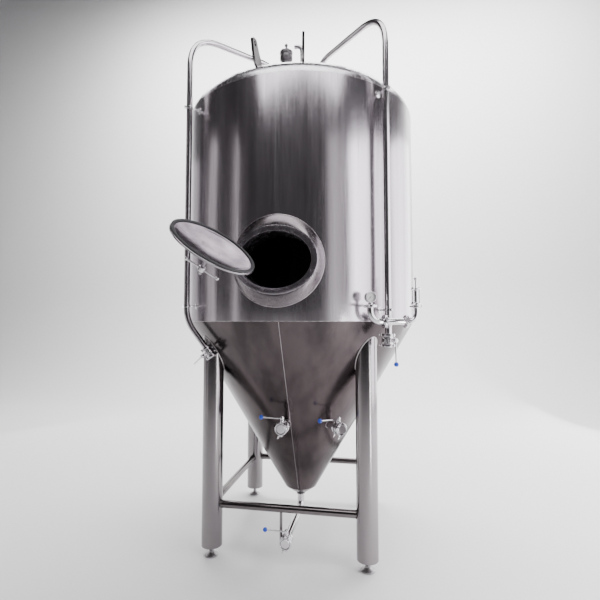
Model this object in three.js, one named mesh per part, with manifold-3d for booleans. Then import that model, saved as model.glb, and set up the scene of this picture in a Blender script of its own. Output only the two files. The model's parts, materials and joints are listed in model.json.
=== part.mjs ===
// A jacketed conical fermenter on four tubular legs, in millimetres, +Z up, standing on z = 0.
// The origin is on the floor under the middle of the bounding box; the front (manway) faces -Y.
import * as THREE from 'three';
import { mergeVertices } from 'three/addons/utils/BufferGeometryUtils.js';
import Module from 'manifold-3d';

const wasm = await Module();
wasm.setup();

// Driving dimensions
const TANK_Y = 278.49; // the vessel's axis stands this far behind the origin
const RADIUS = 870; // outside of the cladding
const CONE_TOP = 1585; // where barrel and cone meet
const BARREL_TOP = 3122;
const HEAD_RISE = 255;
const CONE_END_RADIUS = 121;
const CONE_END = 316;
const SHEET = 3;
const VESSEL_SHEET = 5;
const WALL = 80; // cladding face to the inner vessel's inside
const GAP = 0.3;
const ROUND = 40; // facets round the vessel
const SIDES = 12; // facets round small tubes and turned pieces

const LEG_RADIUS = 69.85;
const LEG_CIRCLE = 741;
const LEG_BOTTOM = 70;
const RAIL_RADIUS = 25.4;
const RAIL_HEIGHT = 345;

const MANWAY_HEIGHT = 1950;
const MANWAY_WIDE = 220; // half of the 440 x 340 oval opening
const MANWAY_TALL = 170;
const NECK_LIP = 40;
const NECK_FACE = 915; // the neck's seat, in front of the vessel's axis

const PIPE_RADIUS = 20;
const PIPE_CIRCLE = 940; // the two risers stand 70 mm off the barrel
const ARM_HEIGHT = 3590;

const LID_WIDE = 250;
const LID_TALL = 200;
const LID_PLANE = 933; // the lid's inner rim when it is shut
const HINGE = new THREE.Vector3(-290, -930, MANWAY_HEIGHT);
const KNUCKLE_OUT = 43; // knuckle centre to the lid's inner rim
const SWING = THREE.MathUtils.degToRad(78);
const TIP = THREE.MathUtils.degToRad(61.3);
const TURN = THREE.MathUtils.degToRad(-76);
const TIP_AXIS = new THREE.Vector3(0.85, 0, -0.527).normalize();

// Finishes
function finish(colour, roughness, metalness) {
  return new THREE.MeshStandardMaterial({ color: colour, roughness, metalness });
}
const satinSteel = () => finish(0x8f898c, 0.32, 1);
const polishedSteel = () => finish(0xc9c7c8, 0.15, 1);
const castSteel = () => finish(0xa9a6a6, 0.4, 1);
const foam = () => finish(0xd9c98f, 0.9, 0);
const rubber = () => finish(0x1c1c1e, 0.7, 0);
const bluePlastic = () => finish(0x1b3fb0, 0.35, 0);
const glass = () => finish(0xdfe8ea, 0.05, 0);
const enamel = () => finish(0x16161a, 0.5, 0);

const fermenter = new THREE.Group();
const tank = new THREE.Group();
tank.position.set(0, TANK_Y, 0);
fermenter.add(tank);

// Geometry to solid and back; a profile that runs the other way round is turned to face out.
function solidOf(geometry) {
  const bare = new THREE.BufferGeometry();
  bare.setAttribute('position', geometry.getAttribute('position'));
  if (geometry.index) bare.setIndex(geometry.index);
  const merged = mergeVertices(bare, 1e-3);
  const triVerts = new Uint32Array(merged.index.array);
  const vertProperties = merged.attributes.position.array;
  const made = new wasm.Manifold(new wasm.Mesh({ numProp: 3, vertProperties, triVerts }));
  if (made.volume() > 0) return made;
  for (let i = 0; i < triVerts.length; i += 3) {
    [triVerts[i + 1], triVerts[i + 2]] = [triVerts[i + 2], triVerts[i + 1]];
  }
  return new wasm.Manifold(new wasm.Mesh({ numProp: 3, vertProperties, triVerts }));
}

function geometryOf(solid) {
  const mesh = solid.getMesh();
  const points = new Float32Array(mesh.numVert * 3);
  for (let i = 0; i < mesh.numVert; i++) {
    points.set(mesh.vertProperties.subarray(i * mesh.numProp, i * mesh.numProp + 3), i * 3);
  }
  const geometry = new THREE.BufferGeometry();
  geometry.setAttribute('position', new THREE.BufferAttribute(points, 3));
  geometry.setIndex(new THREE.BufferAttribute(mesh.triVerts, 1));
  geometry.computeVertexNormals();
  return geometry;
}

function join(...geometries) {
  const [first, ...rest] = geometries.map(solidOf);
  return geometryOf(rest.reduce((sum, next) => sum.add(next), first));
}

function cut(geometry, ...tools) {
  const whole = solidOf(geometry);
  return geometryOf(tools.map(solidOf).reduce((left, tool) => left.subtract(tool), whole));
}

function piece(parent, name, geometry, material) {
  const mesh = new THREE.Mesh(geometryOf(solidOf(geometry)), material);
  mesh.name = name;
  parent.add(mesh);
  return mesh;
}

// A ring or solid of revolution about Z from [radius, height] points.
function turned(profile, segments = ROUND) {
  const points = profile.map(([r, z]) => new THREE.Vector2(r, z));
  return new THREE.LatheGeometry(points, segments).rotateX(Math.PI / 2);
}

function ring(inner, outer, low, high, segments = SIDES) {
  return turned([[inner, low], [outer, low], [outer, high], [inner, high], [inner, low]], segments);
}

function disc(radius, low, high, segments = SIDES) {
  return turned([[0, low], [radius, low], [radius, high], [0, high]], segments);
}

function rod(from, to, radius, segments = SIDES) {
  const along = to.clone().sub(from);
  const turn = new THREE.Quaternion().setFromUnitVectors(Z, along.clone().normalize());
  return disc(radius, 0, along.length(), segments)
    .applyQuaternion(turn)
    .translate(from.x, from.y, from.z);
}

function box(low, high) {
  const size = high.clone().sub(low);
  const middle = low.clone().add(high).multiplyScalar(0.5);
  return new THREE.BoxGeometry(size.x, size.y, size.z).translate(middle.x, middle.y, middle.z);
}

// A route of straight runs and rounded corners, with steps only where it bends.
class Route extends THREE.Curve {
  constructor(corners, bends) {
    super();
    this.points = [corners[0]];
    for (let i = 1; i < corners.length - 1; i++) {
      const bend = bends.length ? bends[i - 1] : bends;
      const into = corners[i].clone().sub(corners[i - 1]).setLength(bend);
      const out = corners[i + 1].clone().sub(corners[i]).setLength(bend);
      const start = corners[i].clone().sub(into);
      const end = corners[i].clone().add(out);
      const arc = new THREE.QuadraticBezierCurve3(start, corners[i], end);
      this.points.push(...arc.getPoints(Math.max(4, Math.ceil(bend / 30))));
    }
    this.points.push(corners[corners.length - 1]);
  }

  getSpacedPoints() {
    return this.points;
  }

  getTangentAt(u) {
    const i = Math.round(u * (this.points.length - 1));
    const before = this.points[Math.max(i - 1, 0)];
    const after = this.points[Math.min(i + 1, this.points.length - 1)];
    return after.clone().sub(before).normalize();
  }
}

// A pipe through corners, each rounded by its own or one shared bend; hollow when a bore is given.
function pipe(corners, bend, radius, bore, sides = SIDES) {
  const circle = (size) => {
    const spots = [];
    for (let k = 0; k < sides; k++) {
      const turn = (2 * Math.PI * k) / sides;
      spots.push(new THREE.Vector2(size * Math.cos(turn), size * Math.sin(turn)));
    }
    return spots;
  };
  const section = new THREE.Shape(circle(radius));
  if (bore) section.holes.push(new THREE.Path(circle(bore)));
  const route = new Route(corners, bend);
  const steps = route.points.length - 1;
  return new THREE.ExtrudeGeometry(section, { steps, bevelEnabled: false, extrudePath: route });
}

const Y = new THREE.Vector3(0, 1, 0);
const Z = new THREE.Vector3(0, 0, 1);
const at = (x, y, z) => new THREE.Vector3(x, y, z);

// A point at a distance from the vessel's axis; 0 degrees is the front, positive to the right.
function around(circle, degrees, z) {
  const angle = THREE.MathUtils.degToRad(degrees);
  return at(circle * Math.sin(angle), -circle * Math.cos(angle), z);
}

const coneRadius = (z) =>
  CONE_END_RADIUS + ((RADIUS - CONE_END_RADIUS) * (z - CONE_END)) / (CONE_TOP - CONE_END);

// Vessel wall: cladding, foam and the inner vessel, all cut through for the manway neck.
function ovalPrism(wide, tall, near, far, segments = 32) {
  return disc(1, near, far, segments).scale(wide, tall, 1).rotateX(Math.PI / 2)
    .translate(0, 0, MANWAY_HEIGHT);
}
const manwayCutter = ovalPrism(
  MANWAY_WIDE + NECK_LIP + GAP, MANWAY_TALL + NECK_LIP + GAP, RADIUS - 250, RADIUS + 60);

function headArc(radius, rise, count = 4) {
  const arc = [];
  for (let i = 0; i <= count; i++) {
    const turn = (i / count) * (Math.PI / 2);
    arc.push([radius * Math.cos(turn), BARREL_TOP + rise * Math.sin(turn)]);
  }
  return arc;
}

// A solid head, grown a little, that trims what stands on the real one.
const TOP_PORT = 60;
function headFill(grow) {
  const arc = headArc(RADIUS + grow, HEAD_RISE + grow).slice(0, -1);
  const top = BARREL_TOP + HEAD_RISE + grow;
  return turned([[0, BARREL_TOP], ...arc, [TOP_PORT, top], [0, top]]);
}
const headTool = headFill(GAP + 0.2);

// A head's wall between two arcs, open at the middle for the top ferrule.
function headWall(outer, outerRise, thickness, base) {
  const outside = headArc(outer, outerRise).slice(0, -1);
  const inside = headArc(outer - thickness, outerRise - thickness).slice(0, -1);
  outside[0][1] = base;
  inside[0][1] = base;
  outside.push([TOP_PORT, BARREL_TOP + outerRise]);
  inside.push([TOP_PORT, BARREL_TOP + outerRise - thickness]);
  return [...outside, ...inside.reverse(), outside[0]];
}

piece(tank, 'barrel_cladding', cut(
  ring(RADIUS - SHEET, RADIUS, CONE_TOP + GAP, BARREL_TOP - GAP, ROUND), manwayCutter), satinSteel());
piece(tank, 'head_cladding', turned(headWall(RADIUS, HEAD_RISE, SHEET, BARREL_TOP)), satinSteel());
const foamOut = SHEET + GAP;
const foamIn = WALL - VESSEL_SHEET - GAP;
const foamHead = headWall(RADIUS - foamOut, HEAD_RISE - foamOut, foamIn - foamOut, BARREL_TOP);
piece(tank, 'insulation', cut(turned([
  [RADIUS - foamOut, CONE_TOP], ...foamHead.slice(0, -1), [RADIUS - foamIn, CONE_TOP],
  [CONE_END_RADIUS - foamIn + 20, CONE_END + 2], [CONE_END_RADIUS - foamOut, CONE_END + 2],
  [RADIUS - foamOut, CONE_TOP],
]), manwayCutter), foam());

const vesselOut = RADIUS - WALL + VESSEL_SHEET;
const vesselRise = HEAD_RISE - WALL + VESSEL_SHEET;
const vesselIn = RADIUS - WALL;
const OUTLET_BORE = 25.4;
const vesselOuter = headArc(vesselOut, vesselRise).slice(0, -1);
const vesselInner = headArc(vesselIn, vesselRise - VESSEL_SHEET).slice(0, -1);
piece(tank, 'inner_vessel', cut(turned([
  [OUTLET_BORE + 8, CONE_END - 30], [CONE_END_RADIUS - WALL + VESSEL_SHEET, CONE_END],
  [vesselOut, CONE_TOP], ...vesselOuter,
  [TOP_PORT, BARREL_TOP + vesselRise], [TOP_PORT, BARREL_TOP + vesselRise - VESSEL_SHEET],
  ...vesselInner.reverse(), [vesselIn, CONE_TOP], [CONE_END_RADIUS - WALL, CONE_END],
  [OUTLET_BORE + 3, CONE_END - 30], [OUTLET_BORE + 8, CONE_END - 30],
]), manwayCutter), polishedSteel());

// Manway: the neck goes right through the wall, and a bevelled collar closes the cladding round it.
const neckOutside = ovalPrism(
  MANWAY_WIDE + NECK_LIP, MANWAY_TALL + NECK_LIP, vesselIn - 60, NECK_FACE);
const neckInside = ovalPrism(MANWAY_WIDE, MANWAY_TALL, vesselIn - 61, NECK_FACE + 1);
piece(tank, 'manway_neck', cut(neckOutside, neckInside), satinSteel());

function collarGeometry() {
  const stations = 40;
  const spots = [];
  const onCladding = (x, z, lift) => at(x, -Math.sqrt((RADIUS + lift) ** 2 - x * x), z);
  for (let i = 0; i < stations; i++) {
    const turn = (2 * Math.PI * i) / stations;
    const [c, s] = [Math.cos(turn), Math.sin(turn)];
    const neckX = (MANWAY_WIDE + NECK_LIP + 1) * c;
    const neckZ = (MANWAY_TALL + NECK_LIP + 1) * s;
    spots.push(
      onCladding(neckX, neckZ, 1),
      onCladding(290 * c, 282 * s, 1),
      onCladding(286 * c, 278 * s, 6),
      at(neckX, -NECK_FACE + 12, neckZ),
    );
  }
  const index = [];
  const size = 4;
  for (let i = 0; i < stations; i++) {
    const next = ((i + 1) % stations) * size;
    for (let k = 0; k < size; k++) {
      const up = (k + 1) % size;
      index.push(i * size + k, next + k, next + up);
      index.push(i * size + k, next + up, i * size + up);
    }
  }
  const geometry = new THREE.BufferGeometry().setFromPoints(spots);
  geometry.setIndex(index);
  return geometry.translate(0, 0, MANWAY_HEIGHT);
}
piece(tank, 'manway_collar', collarGeometry(), satinSteel());

// Legs end against the cone, rails run between them, and each leg stands on a levelling foot.
function coneFill(grow) {
  return turned([
    [0, CONE_END - 80], [CONE_END_RADIUS + grow, CONE_END], [RADIUS + grow, CONE_TOP],
    [RADIUS + grow, CONE_TOP + 200], [0, CONE_TOP + 200],
  ]);
}
const coneTool = coneFill(-1);
const CORNERS = {
  front_left: -45, front_right: 45, rear_left: -135, rear_right: 135,
};
const legSpot = (degrees, z) => around(LEG_CIRCLE, degrees, z);
for (const [corner, degrees] of Object.entries(CORNERS)) {
  const foot = legSpot(degrees, 0);
  const tube = cut(
    ring(LEG_RADIUS - 4, LEG_RADIUS, LEG_BOTTOM, CONE_TOP - 60, 16).translate(foot.x, foot.y, 0),
    coneFill(1));
  const endPlate = disc(LEG_RADIUS - 4, LEG_BOTTOM, LEG_BOTTOM + 12, 16)
    .translate(foot.x, foot.y, 0);
  const hole = disc(12.5, LEG_BOTTOM - 1, LEG_BOTTOM + 13).translate(foot.x, foot.y, 0);
  piece(tank, `leg_${corner}`, cut(join(tube, endPlate), hole), satinSteel());
  piece(tank, `foot_${corner}`, turned([
    [0, 0], [45, 0], [45, 8], [22, 18], [12, 18], [12, 60], [18, 60], [18, LEG_BOTTOM - 0.5],
    [12, LEG_BOTTOM - 0.5], [12, LEG_BOTTOM + 40], [0, LEG_BOTTOM + 40],
  ], SIDES).translate(foot.x, foot.y, 0), castSteel());
}
function rail(fromCorner, toCorner) {
  const from = legSpot(CORNERS[fromCorner], RAIL_HEIGHT);
  const to = legSpot(CORNERS[toCorner], RAIL_HEIGHT);
  const back = to.clone().sub(from).setLength(LEG_RADIUS + 0.6);
  return rod(from.clone().add(back), to.clone().sub(back), RAIL_RADIUS);
}
piece(tank, 'rail_rear', rail('rear_left', 'rear_right'), satinSteel());
piece(tank, 'rail_left', rail('front_left', 'rear_left'), satinSteel());
piece(tank, 'rail_right', rail('front_right', 'rear_right'), satinSteel());

const QUARTER = Math.PI / 2;

// A butterfly valve along local Z, its stem towards local X and its lever along local Y.
const VALVE_HALF = 32;
const STEM_OUT = 58;
const LEVER_LONG = 128;
function valve(name, place, flow, stem, turn, knob) {
  const group = new THREE.Group();
  const side = new THREE.Vector3().crossVectors(flow, stem);
  group.quaternion.setFromRotationMatrix(new THREE.Matrix4().makeBasis(stem, side, flow));
  group.position.copy(place);
  tank.add(group);
  const profile = [
    [24, -VALVE_HALF], [32, -VALVE_HALF], [28, -VALVE_HALF + 8], [28, -13], [38, -10], [38, 10],
    [28, 13], [28, VALVE_HALF - 8], [32, VALVE_HALF], [24, VALVE_HALF], [24, -VALVE_HALF],
  ];
  const neck = rod(at(26, 0, 0), at(STEM_OUT - 10, 0, 0), 11);
  const stemHole = rod(at(20, 0, 0), at(STEM_OUT, 0, 0), 5.5, 8);
  piece(group, `${name}_body`, cut(join(turned(profile, SIDES), neck), stemHole), polishedSteel());
  const handle = new THREE.Group();
  handle.rotation.x = turn;
  group.add(handle);
  const plate = disc(22.5, -2, 2);
  const spindle = rod(at(15, 0, 0), at(STEM_OUT + 6, 0, 0), 5, 8);
  const hub = rod(at(STEM_OUT - 9, 0, 0), at(STEM_OUT + 12, 0, 0), 13);
  const tip = at(STEM_OUT + 4, LEVER_LONG, 0);
  const arm = rod(at(STEM_OUT + 2, 5, 0), tip, 4.5, 8);
  piece(handle, `${name}_lever`, join(plate, spindle, hub, arm), polishedSteel());
  if (knob) {
    const ball = new THREE.SphereGeometry(15, 8, 6);
    ball.translate(tip.x, tip.y + 15.3, tip.z);
    piece(handle, `${name}_knob`, ball, bluePlastic());
  }
}

// The cone's cladding carries two welded stubs, each with a butterfly valve on its end.
const stubEnd = (degrees, z, reach) => around(reach, degrees, z);
const RACKING = { degrees: -2, z: 889, reach: 560 };
const SAMPLE = { degrees: 36, z: 872, reach: 545 };
function stub({ degrees, z, reach }) {
  return cut(
    rod(around(coneRadius(z) - 70, degrees, z), stubEnd(degrees, z, reach), 27),
    rod(around(coneRadius(z) - 90, degrees, z), stubEnd(degrees, z, reach + 5), 24),
    coneTool);
}
const coneSheet = turned([
  [RADIUS, CONE_TOP], [RADIUS - SHEET, CONE_TOP], [CONE_END_RADIUS - SHEET, CONE_END],
  [30, CONE_END - 56], [30, CONE_END - 62], [CONE_END_RADIUS, CONE_END], [RADIUS, CONE_TOP],
]);
piece(tank, 'cone_cladding', join(coneSheet, stub(RACKING), stub(SAMPLE)), satinSteel());
for (const [name, port] of [['racking_valve', RACKING], ['sample_valve', SAMPLE]]) {
  const spot = stubEnd(port.degrees, port.z, port.reach + VALVE_HALF + GAP);
  valve(name, spot, around(1, port.degrees, 0), Z, 0, true);
}

// Outlet: from the cone's tip down and forward under the front rail, hung from the rail by a strut.
const OUTLET_LOW = 150;
const outletEnd = at(0, -520, OUTLET_LOW);
piece(tank, 'outlet_pipe', pipe(
  [at(0, 0, CONE_END - 31), at(0, 0, OUTLET_LOW), outletEnd], 60, OUTLET_BORE, 23), polishedSteel());
valve('outlet_valve', at(0, -520 - VALVE_HALF - GAP, OUTLET_LOW), at(0, -1, 0), Z, 0, true);
const railY = -LEG_CIRCLE * Math.SQRT1_2;
const strut = rod(at(-42, railY, OUTLET_LOW - 30), at(-42, railY, RAIL_HEIGHT), 9, 8);
piece(tank, 'rail_front', join(rail('front_left', 'front_right'), strut), satinSteel());

// Two risers stand off the barrel at 45 degrees and arch in over the head.
const headTop = (circle) =>
  BARREL_TOP + HEAD_RISE * Math.sqrt(Math.max(0, 1 - (circle / RADIUS) ** 2));
const ARM_IN = 230;
const ARM_BENDS = [230, 140]; // over the barrel's edge and over the head
function riserCorners(degrees, low) {
  return [
    ...low, around(PIPE_CIRCLE, degrees, ARM_HEIGHT), around(ARM_IN, degrees, ARM_HEIGHT),
    around(ARM_IN, degrees, headTop(ARM_IN) - 15),
  ];
}
piece(tank, 'wash_pipe', cut(pipe(riserCorners(-45, [
  around(838, -39, 1405), around(PIPE_CIRCLE, -45, 1590),
]), [90, ...ARM_BENDS], PIPE_RADIUS, 17, 8), headTool), polishedSteel());
piece(tank, 'gas_pipe', cut(pipe(riserCorners(45, [
  around(PIPE_CIRCLE, 45, 1500),
]), ARM_BENDS, PIPE_RADIUS, 17, 8), headTool), polishedSteel());

// Each riser is held by two clips on rods welded to the barrel.
function bracket(name, degrees, z) {
  const clip = ring(PIPE_RADIUS + 1.2, PIPE_RADIUS + 5, -9, 9);
  const out = around(PIPE_CIRCLE, degrees, z);
  clip.translate(out.x, out.y, out.z);
  const arm = rod(
    around(RADIUS + 3, degrees, z), around(PIPE_CIRCLE - PIPE_RADIUS - 3, degrees, z), 6, 8);
  const pad = rod(around(RADIUS + 0.6, degrees, z), around(RADIUS + 5, degrees, z), 22);
  piece(tank, name, join(clip, arm, pad), polishedSteel());
}
bracket('wash_bracket_upper', -45, 3058);
bracket('wash_bracket_lower', -45, 1688);
bracket('gas_bracket_upper', 45, 3058);
bracket('gas_bracket_lower', 45, 1655);

// Riser ends: the gas valve hangs straight below its pipe, the wash valve follows the cone.
valve('gas_valve', around(PIPE_CIRCLE, 45, 1500 - VALVE_HALF - GAP), at(0, 0, -1),
  around(1, 45, 0), QUARTER, true);
const washLow = around(838, -39, 1405);
const washFlow = washLow.clone().sub(around(PIPE_CIRCLE, -45, 1590)).normalize();
const washStem = around(1, -39, 0);
washStem.addScaledVector(washFlow, -washStem.dot(washFlow)).normalize();
valve('wash_valve', washLow.clone().addScaledVector(washFlow, VALVE_HALF + GAP), washFlow, washStem,
  0, false);


// Manifold across the gas pipe, turned so that its gauge faces forward: a cross, a bend up to the
// gauge and one up to the spunding valve.
const MANIFOLD_Z = 1583;
const MANIFOLD_TURN = THREE.MathUtils.degToRad(22);
const TO_PIPE = Math.PI / 4 - MANIFOLD_TURN;
const manifold = new THREE.Group();
manifold.position.copy(around(PIPE_CIRCLE + PIPE_RADIUS * 2 + 18, 45, MANIFOLD_Z));
manifold.rotation.z = MANIFOLD_TURN;
tank.add(manifold);
const CROSS_HALF = 70;
const saddle = ring(PIPE_RADIUS + 0.8, PIPE_RADIUS + 9, -24, 24)
  .translate(0, PIPE_RADIUS * 2 + 18, 0).rotateZ(TO_PIPE);
const branch = rod(at(0, PIPE_RADIUS + 11, 0), at(0, -6, 0), 16).rotateZ(TO_PIPE);
const across = cut(
  rod(at(-CROSS_HALF, 0, 0), at(CROSS_HALF, 0, 0), 19),
  rod(at(-CROSS_HALF - 5, 0, 0), at(CROSS_HALF + 5, 0, 0), 16));
piece(manifold, 'manifold_cross', join(across, saddle, branch), polishedSteel());

const BEND_SIDE = 160;
const BEND_UP = 92;
const SPUNDING_SIDE = 138;
piece(manifold, 'gauge_bend', pipe(
  [at(-CROSS_HALF - GAP, 0, 0), at(-BEND_SIDE, 0, 0), at(-BEND_SIDE, 0, BEND_UP)], 70, 19, 16),
polishedSteel());
piece(manifold, 'spunding_bend', pipe(
  [at(CROSS_HALF + GAP, 0, 0), at(SPUNDING_SIDE, 0, 0), at(SPUNDING_SIDE, 0, 104)], 60, 15, 12),
polishedSteel());

// Pressure gauge: a stem and round case that faces outward, with dial, needle and glass.
const GAUGE_RADIUS = 34;
const GAUGE_UP = 146;
const gauge = new THREE.Group();
gauge.position.set(-BEND_SIDE, 0, GAUGE_UP);
gauge.rotation.x = QUARTER;
manifold.add(gauge);
const caseShell = turned([
  [0, -16], [GAUGE_RADIUS, -16], [GAUGE_RADIUS, 16], [GAUGE_RADIUS - 4, 16],
  [GAUGE_RADIUS - 4, 2], [0, 2],
], 24);
const gaugeFoot = BEND_UP - GAUGE_UP + GAP;
const gaugeStem = rod(at(0, -GAUGE_RADIUS + 3, 0), at(0, gaugeFoot + 2, 0), 9);
const gaugeCap = rod(at(0, gaugeFoot + 12, 0), at(0, gaugeFoot, 0), 21);
piece(gauge, 'gauge_case', join(caseShell, gaugeStem, gaugeCap), polishedSteel());
const needle = new THREE.Group();
needle.rotation.z = THREE.MathUtils.degToRad(135);
gauge.add(needle);
piece(needle, 'gauge_needle', join(
  disc(3.5, 4.6, 8, 8), box(at(-1.2, -8, 5), at(1.2, 24, 6.4))), enamel());
piece(gauge, 'gauge_glass', disc(GAUGE_RADIUS - 4.4, 10, 12.5, 24), glass());

// Spunding valve: a sight cylinder between two plates, with a spring rod and knob on top.
const spunding = new THREE.Group();
spunding.position.set(SPUNDING_SIDE, 0, 104);
manifold.add(spunding);
const cage = [-1, 1].map((side) => rod(at(side * 23, 0, 8), at(side * 23, 0, 96), 4, 8));
const lowPlate = box(at(-30, -16, GAP), at(30, 16, 10));
const highPlate = box(at(-30, -14, 92), at(30, 14, 100));
const sight = ring(11, 15, 9, 93);
const guide = rod(at(0, 0, 91), at(0, 0, 101), 6.5, 8);
piece(spunding, 'spunding_body', cut(
  join(lowPlate, highPlate, sight, ...cage), guide), polishedSteel());
piece(spunding, 'spunding_rod', join(
  rod(at(0, 0, 30), at(0, 0, 150), 5, 8), disc(9, 24, 34),
  new THREE.SphereGeometry(12, 8, 6).translate(0, 0, 158)), polishedSteel());

// Two lifting ears stand on the shoulder, one each side of the front.
const EAR_TURN = 11;
function ear(name, degrees) {
  const outline = new THREE.Shape([
    [700, 3230], [770, 3215], [812, 3215], [842, 3262], [869, 3380], [815, 3392], [760, 3300],
  ].map(([r, z]) => new THREE.Vector2(r, z)));
  outline.holes.push(new THREE.Path(
    new THREE.Path().absarc(836, 3352, 15, 0, 2 * Math.PI).getPoints(6).slice(0, -1)));
  const plate = new THREE.ExtrudeGeometry(outline, { depth: 16, bevelEnabled: false });
  plate.translate(0, 0, -8).rotateX(QUARTER).rotateZ(-QUARTER + THREE.MathUtils.degToRad(degrees));
  piece(tank, name, cut(plate, headTool), satinSteel());
}
ear('lifting_ear_left', -EAR_TURN);
ear('lifting_ear_right', EAR_TURN);

// Head fittings: a pressure and vacuum valve with its cap, a vent bend and the top port's cover.
const RELIEF = at(-30, -440, headTop(441) + 1);
const relief = new THREE.Group();
relief.position.copy(RELIEF);
tank.add(relief);
const reliefBody = turned([
  [26, -40], [30, -40], [30, 120], [46, 128], [46, 176], [26, 176], [26, -40],
], 16);
const headUnderRelief = headFill(GAP + 0.2).translate(-RELIEF.x, -RELIEF.y, -RELIEF.z);
piece(relief, 'relief_body', cut(reliefBody, headUnderRelief), castSteel());
piece(relief, 'relief_cap', join(
  disc(46, 176.4, 190, 16), disc(20, 150, 178), rod(at(0, 0, 188), at(0, 0, 232), 7, 8),
  new THREE.SphereGeometry(12, 8, 6).translate(0, 0, 236)), castSteel());
const VENT_Z = headTop(424) - 20;
piece(tank, 'vent_bend', cut(pipe([
  at(85, -422, VENT_Z), at(85, -440, 3560), at(30, -440, 3560),
], 40, 14, 11, 10), headTool), polishedSteel());
piece(tank, 'top_port_cover', turned([
  [0, BARREL_TOP + HEAD_RISE - 40], [TOP_PORT - 1, BARREL_TOP + HEAD_RISE - 40],
  [TOP_PORT - 1, BARREL_TOP + HEAD_RISE + 1], [TOP_PORT + 22, BARREL_TOP + HEAD_RISE + 1],
  [TOP_PORT + 22, BARREL_TOP + HEAD_RISE + 20], [0, BARREL_TOP + HEAD_RISE + 20],
], 24), polishedSteel());

// Manway lid, drawn shut inside its groups and shown swung open, tipped and turned on its pin.
const HINGE_LOW = -60;
const HINGE_HIGH = 100;
const bracketBarrel = disc(18, HINGE_LOW, HINGE_LOW + 40);
const bracketArm = box(at(0, 0, HINGE_LOW), at(45, 25, HINGE_LOW + 40));
const hingePin = disc(9, HINGE_LOW + 5, HINGE_HIGH);
const hingeHead = disc(14, HINGE_HIGH - 1, HINGE_HIGH + 8);
const bracketSolid = join(bracketBarrel, bracketArm, hingePin, hingeHead).translate(...HINGE);
const neckRoom = ovalPrism(
  MANWAY_WIDE + NECK_LIP + GAP, MANWAY_TALL + NECK_LIP + GAP, RADIUS - 250, NECK_FACE + 60);
piece(tank, 'hinge_bracket', cut(bracketSolid, neckRoom), castSteel());

const swing = new THREE.Group();
swing.position.copy(HINGE);
swing.rotation.z = -SWING;
tank.add(swing);
const knuckleSpot = at(0, -LID_PLANE - KNUCKLE_OUT, MANWAY_HEIGHT).sub(HINGE);
const alongTip = (reach) => knuckleSpot.clone().addScaledVector(TIP_AXIS, -reach);
const elbow = alongTip(140);
const armBarrel = ring(9.8, 19, HINGE_LOW + 41, HINGE_HIGH - 2);
const armBar = pipe([
  at(12, -6, elbow.z), at(60, elbow.y, elbow.z), elbow, alongTip(25),
], 22, 11, 0, 8);
const armSocket = rod(alongTip(20), alongTip(64), 6.8, 8);
piece(swing, 'swing_arm', cut(join(armBarrel, armBar), armSocket,
  disc(9.8, HINGE_LOW, HINGE_HIGH)), polishedSteel());

const tipping = new THREE.Group();
tipping.position.copy(knuckleSpot);
tipping.quaternion.setFromAxisAngle(TIP_AXIS, TIP);
swing.add(tipping);
const trunnion = rod(TIP_AXIS.clone().multiplyScalar(-12), TIP_AXIS.clone().multiplyScalar(-60), 6, 8);
const knuckleBody = disc(20, -13, 13, 16).rotateX(QUARTER);
const knuckleBore = disc(10.8, -14, 14).rotateX(QUARTER);
piece(tipping, 'lid_knuckle', cut(join(knuckleBody, trunnion), knuckleBore), castSteel());

const turning = new THREE.Group();
turning.quaternion.setFromAxisAngle(Y, TURN);
tipping.add(turning);
const lidGeometry = (geometry) => geometry.rotateX(QUARTER).translate(0, KNUCKLE_OUT, 0);
const oval = (geometry) => geometry.scale(1, LID_TALL / LID_WIDE, 1);
const dish = oval(turned([
  [0, 20], [110, 17], [190, 7], [222, 0], [LID_WIDE, 0], [LID_WIDE, 12], [228, 12],
  [190, 13], [110, 22], [0, 25],
], 32));
piece(turning, 'lid_plate', lidGeometry(join(
  dish, disc(10, 22, 178), disc(14, 176, 184))), polishedSteel());
piece(turning, 'lid_gasket', lidGeometry(oval(ring(226, 246, -8, -GAP, 32))), rubber());
const handle = new THREE.Group();
turning.add(handle);
const hubRing = disc(21, 138, 168);
const tee = rod(at(-100, 0, 153), at(100, 0, 153), 6, 8);
const teeEnds = [-100, 100].map((x) => new THREE.SphereGeometry(10, 8, 6).translate(x, 0, 153));
piece(handle, 'clamp_handle', lidGeometry(cut(
  join(hubRing, tee, ...teeEnds), disc(10.8, 137, 169))), polishedSteel());

export default fermenter;
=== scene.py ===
import json
import math

import bmesh
import bpy
from mathutils import Matrix, Vector


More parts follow.
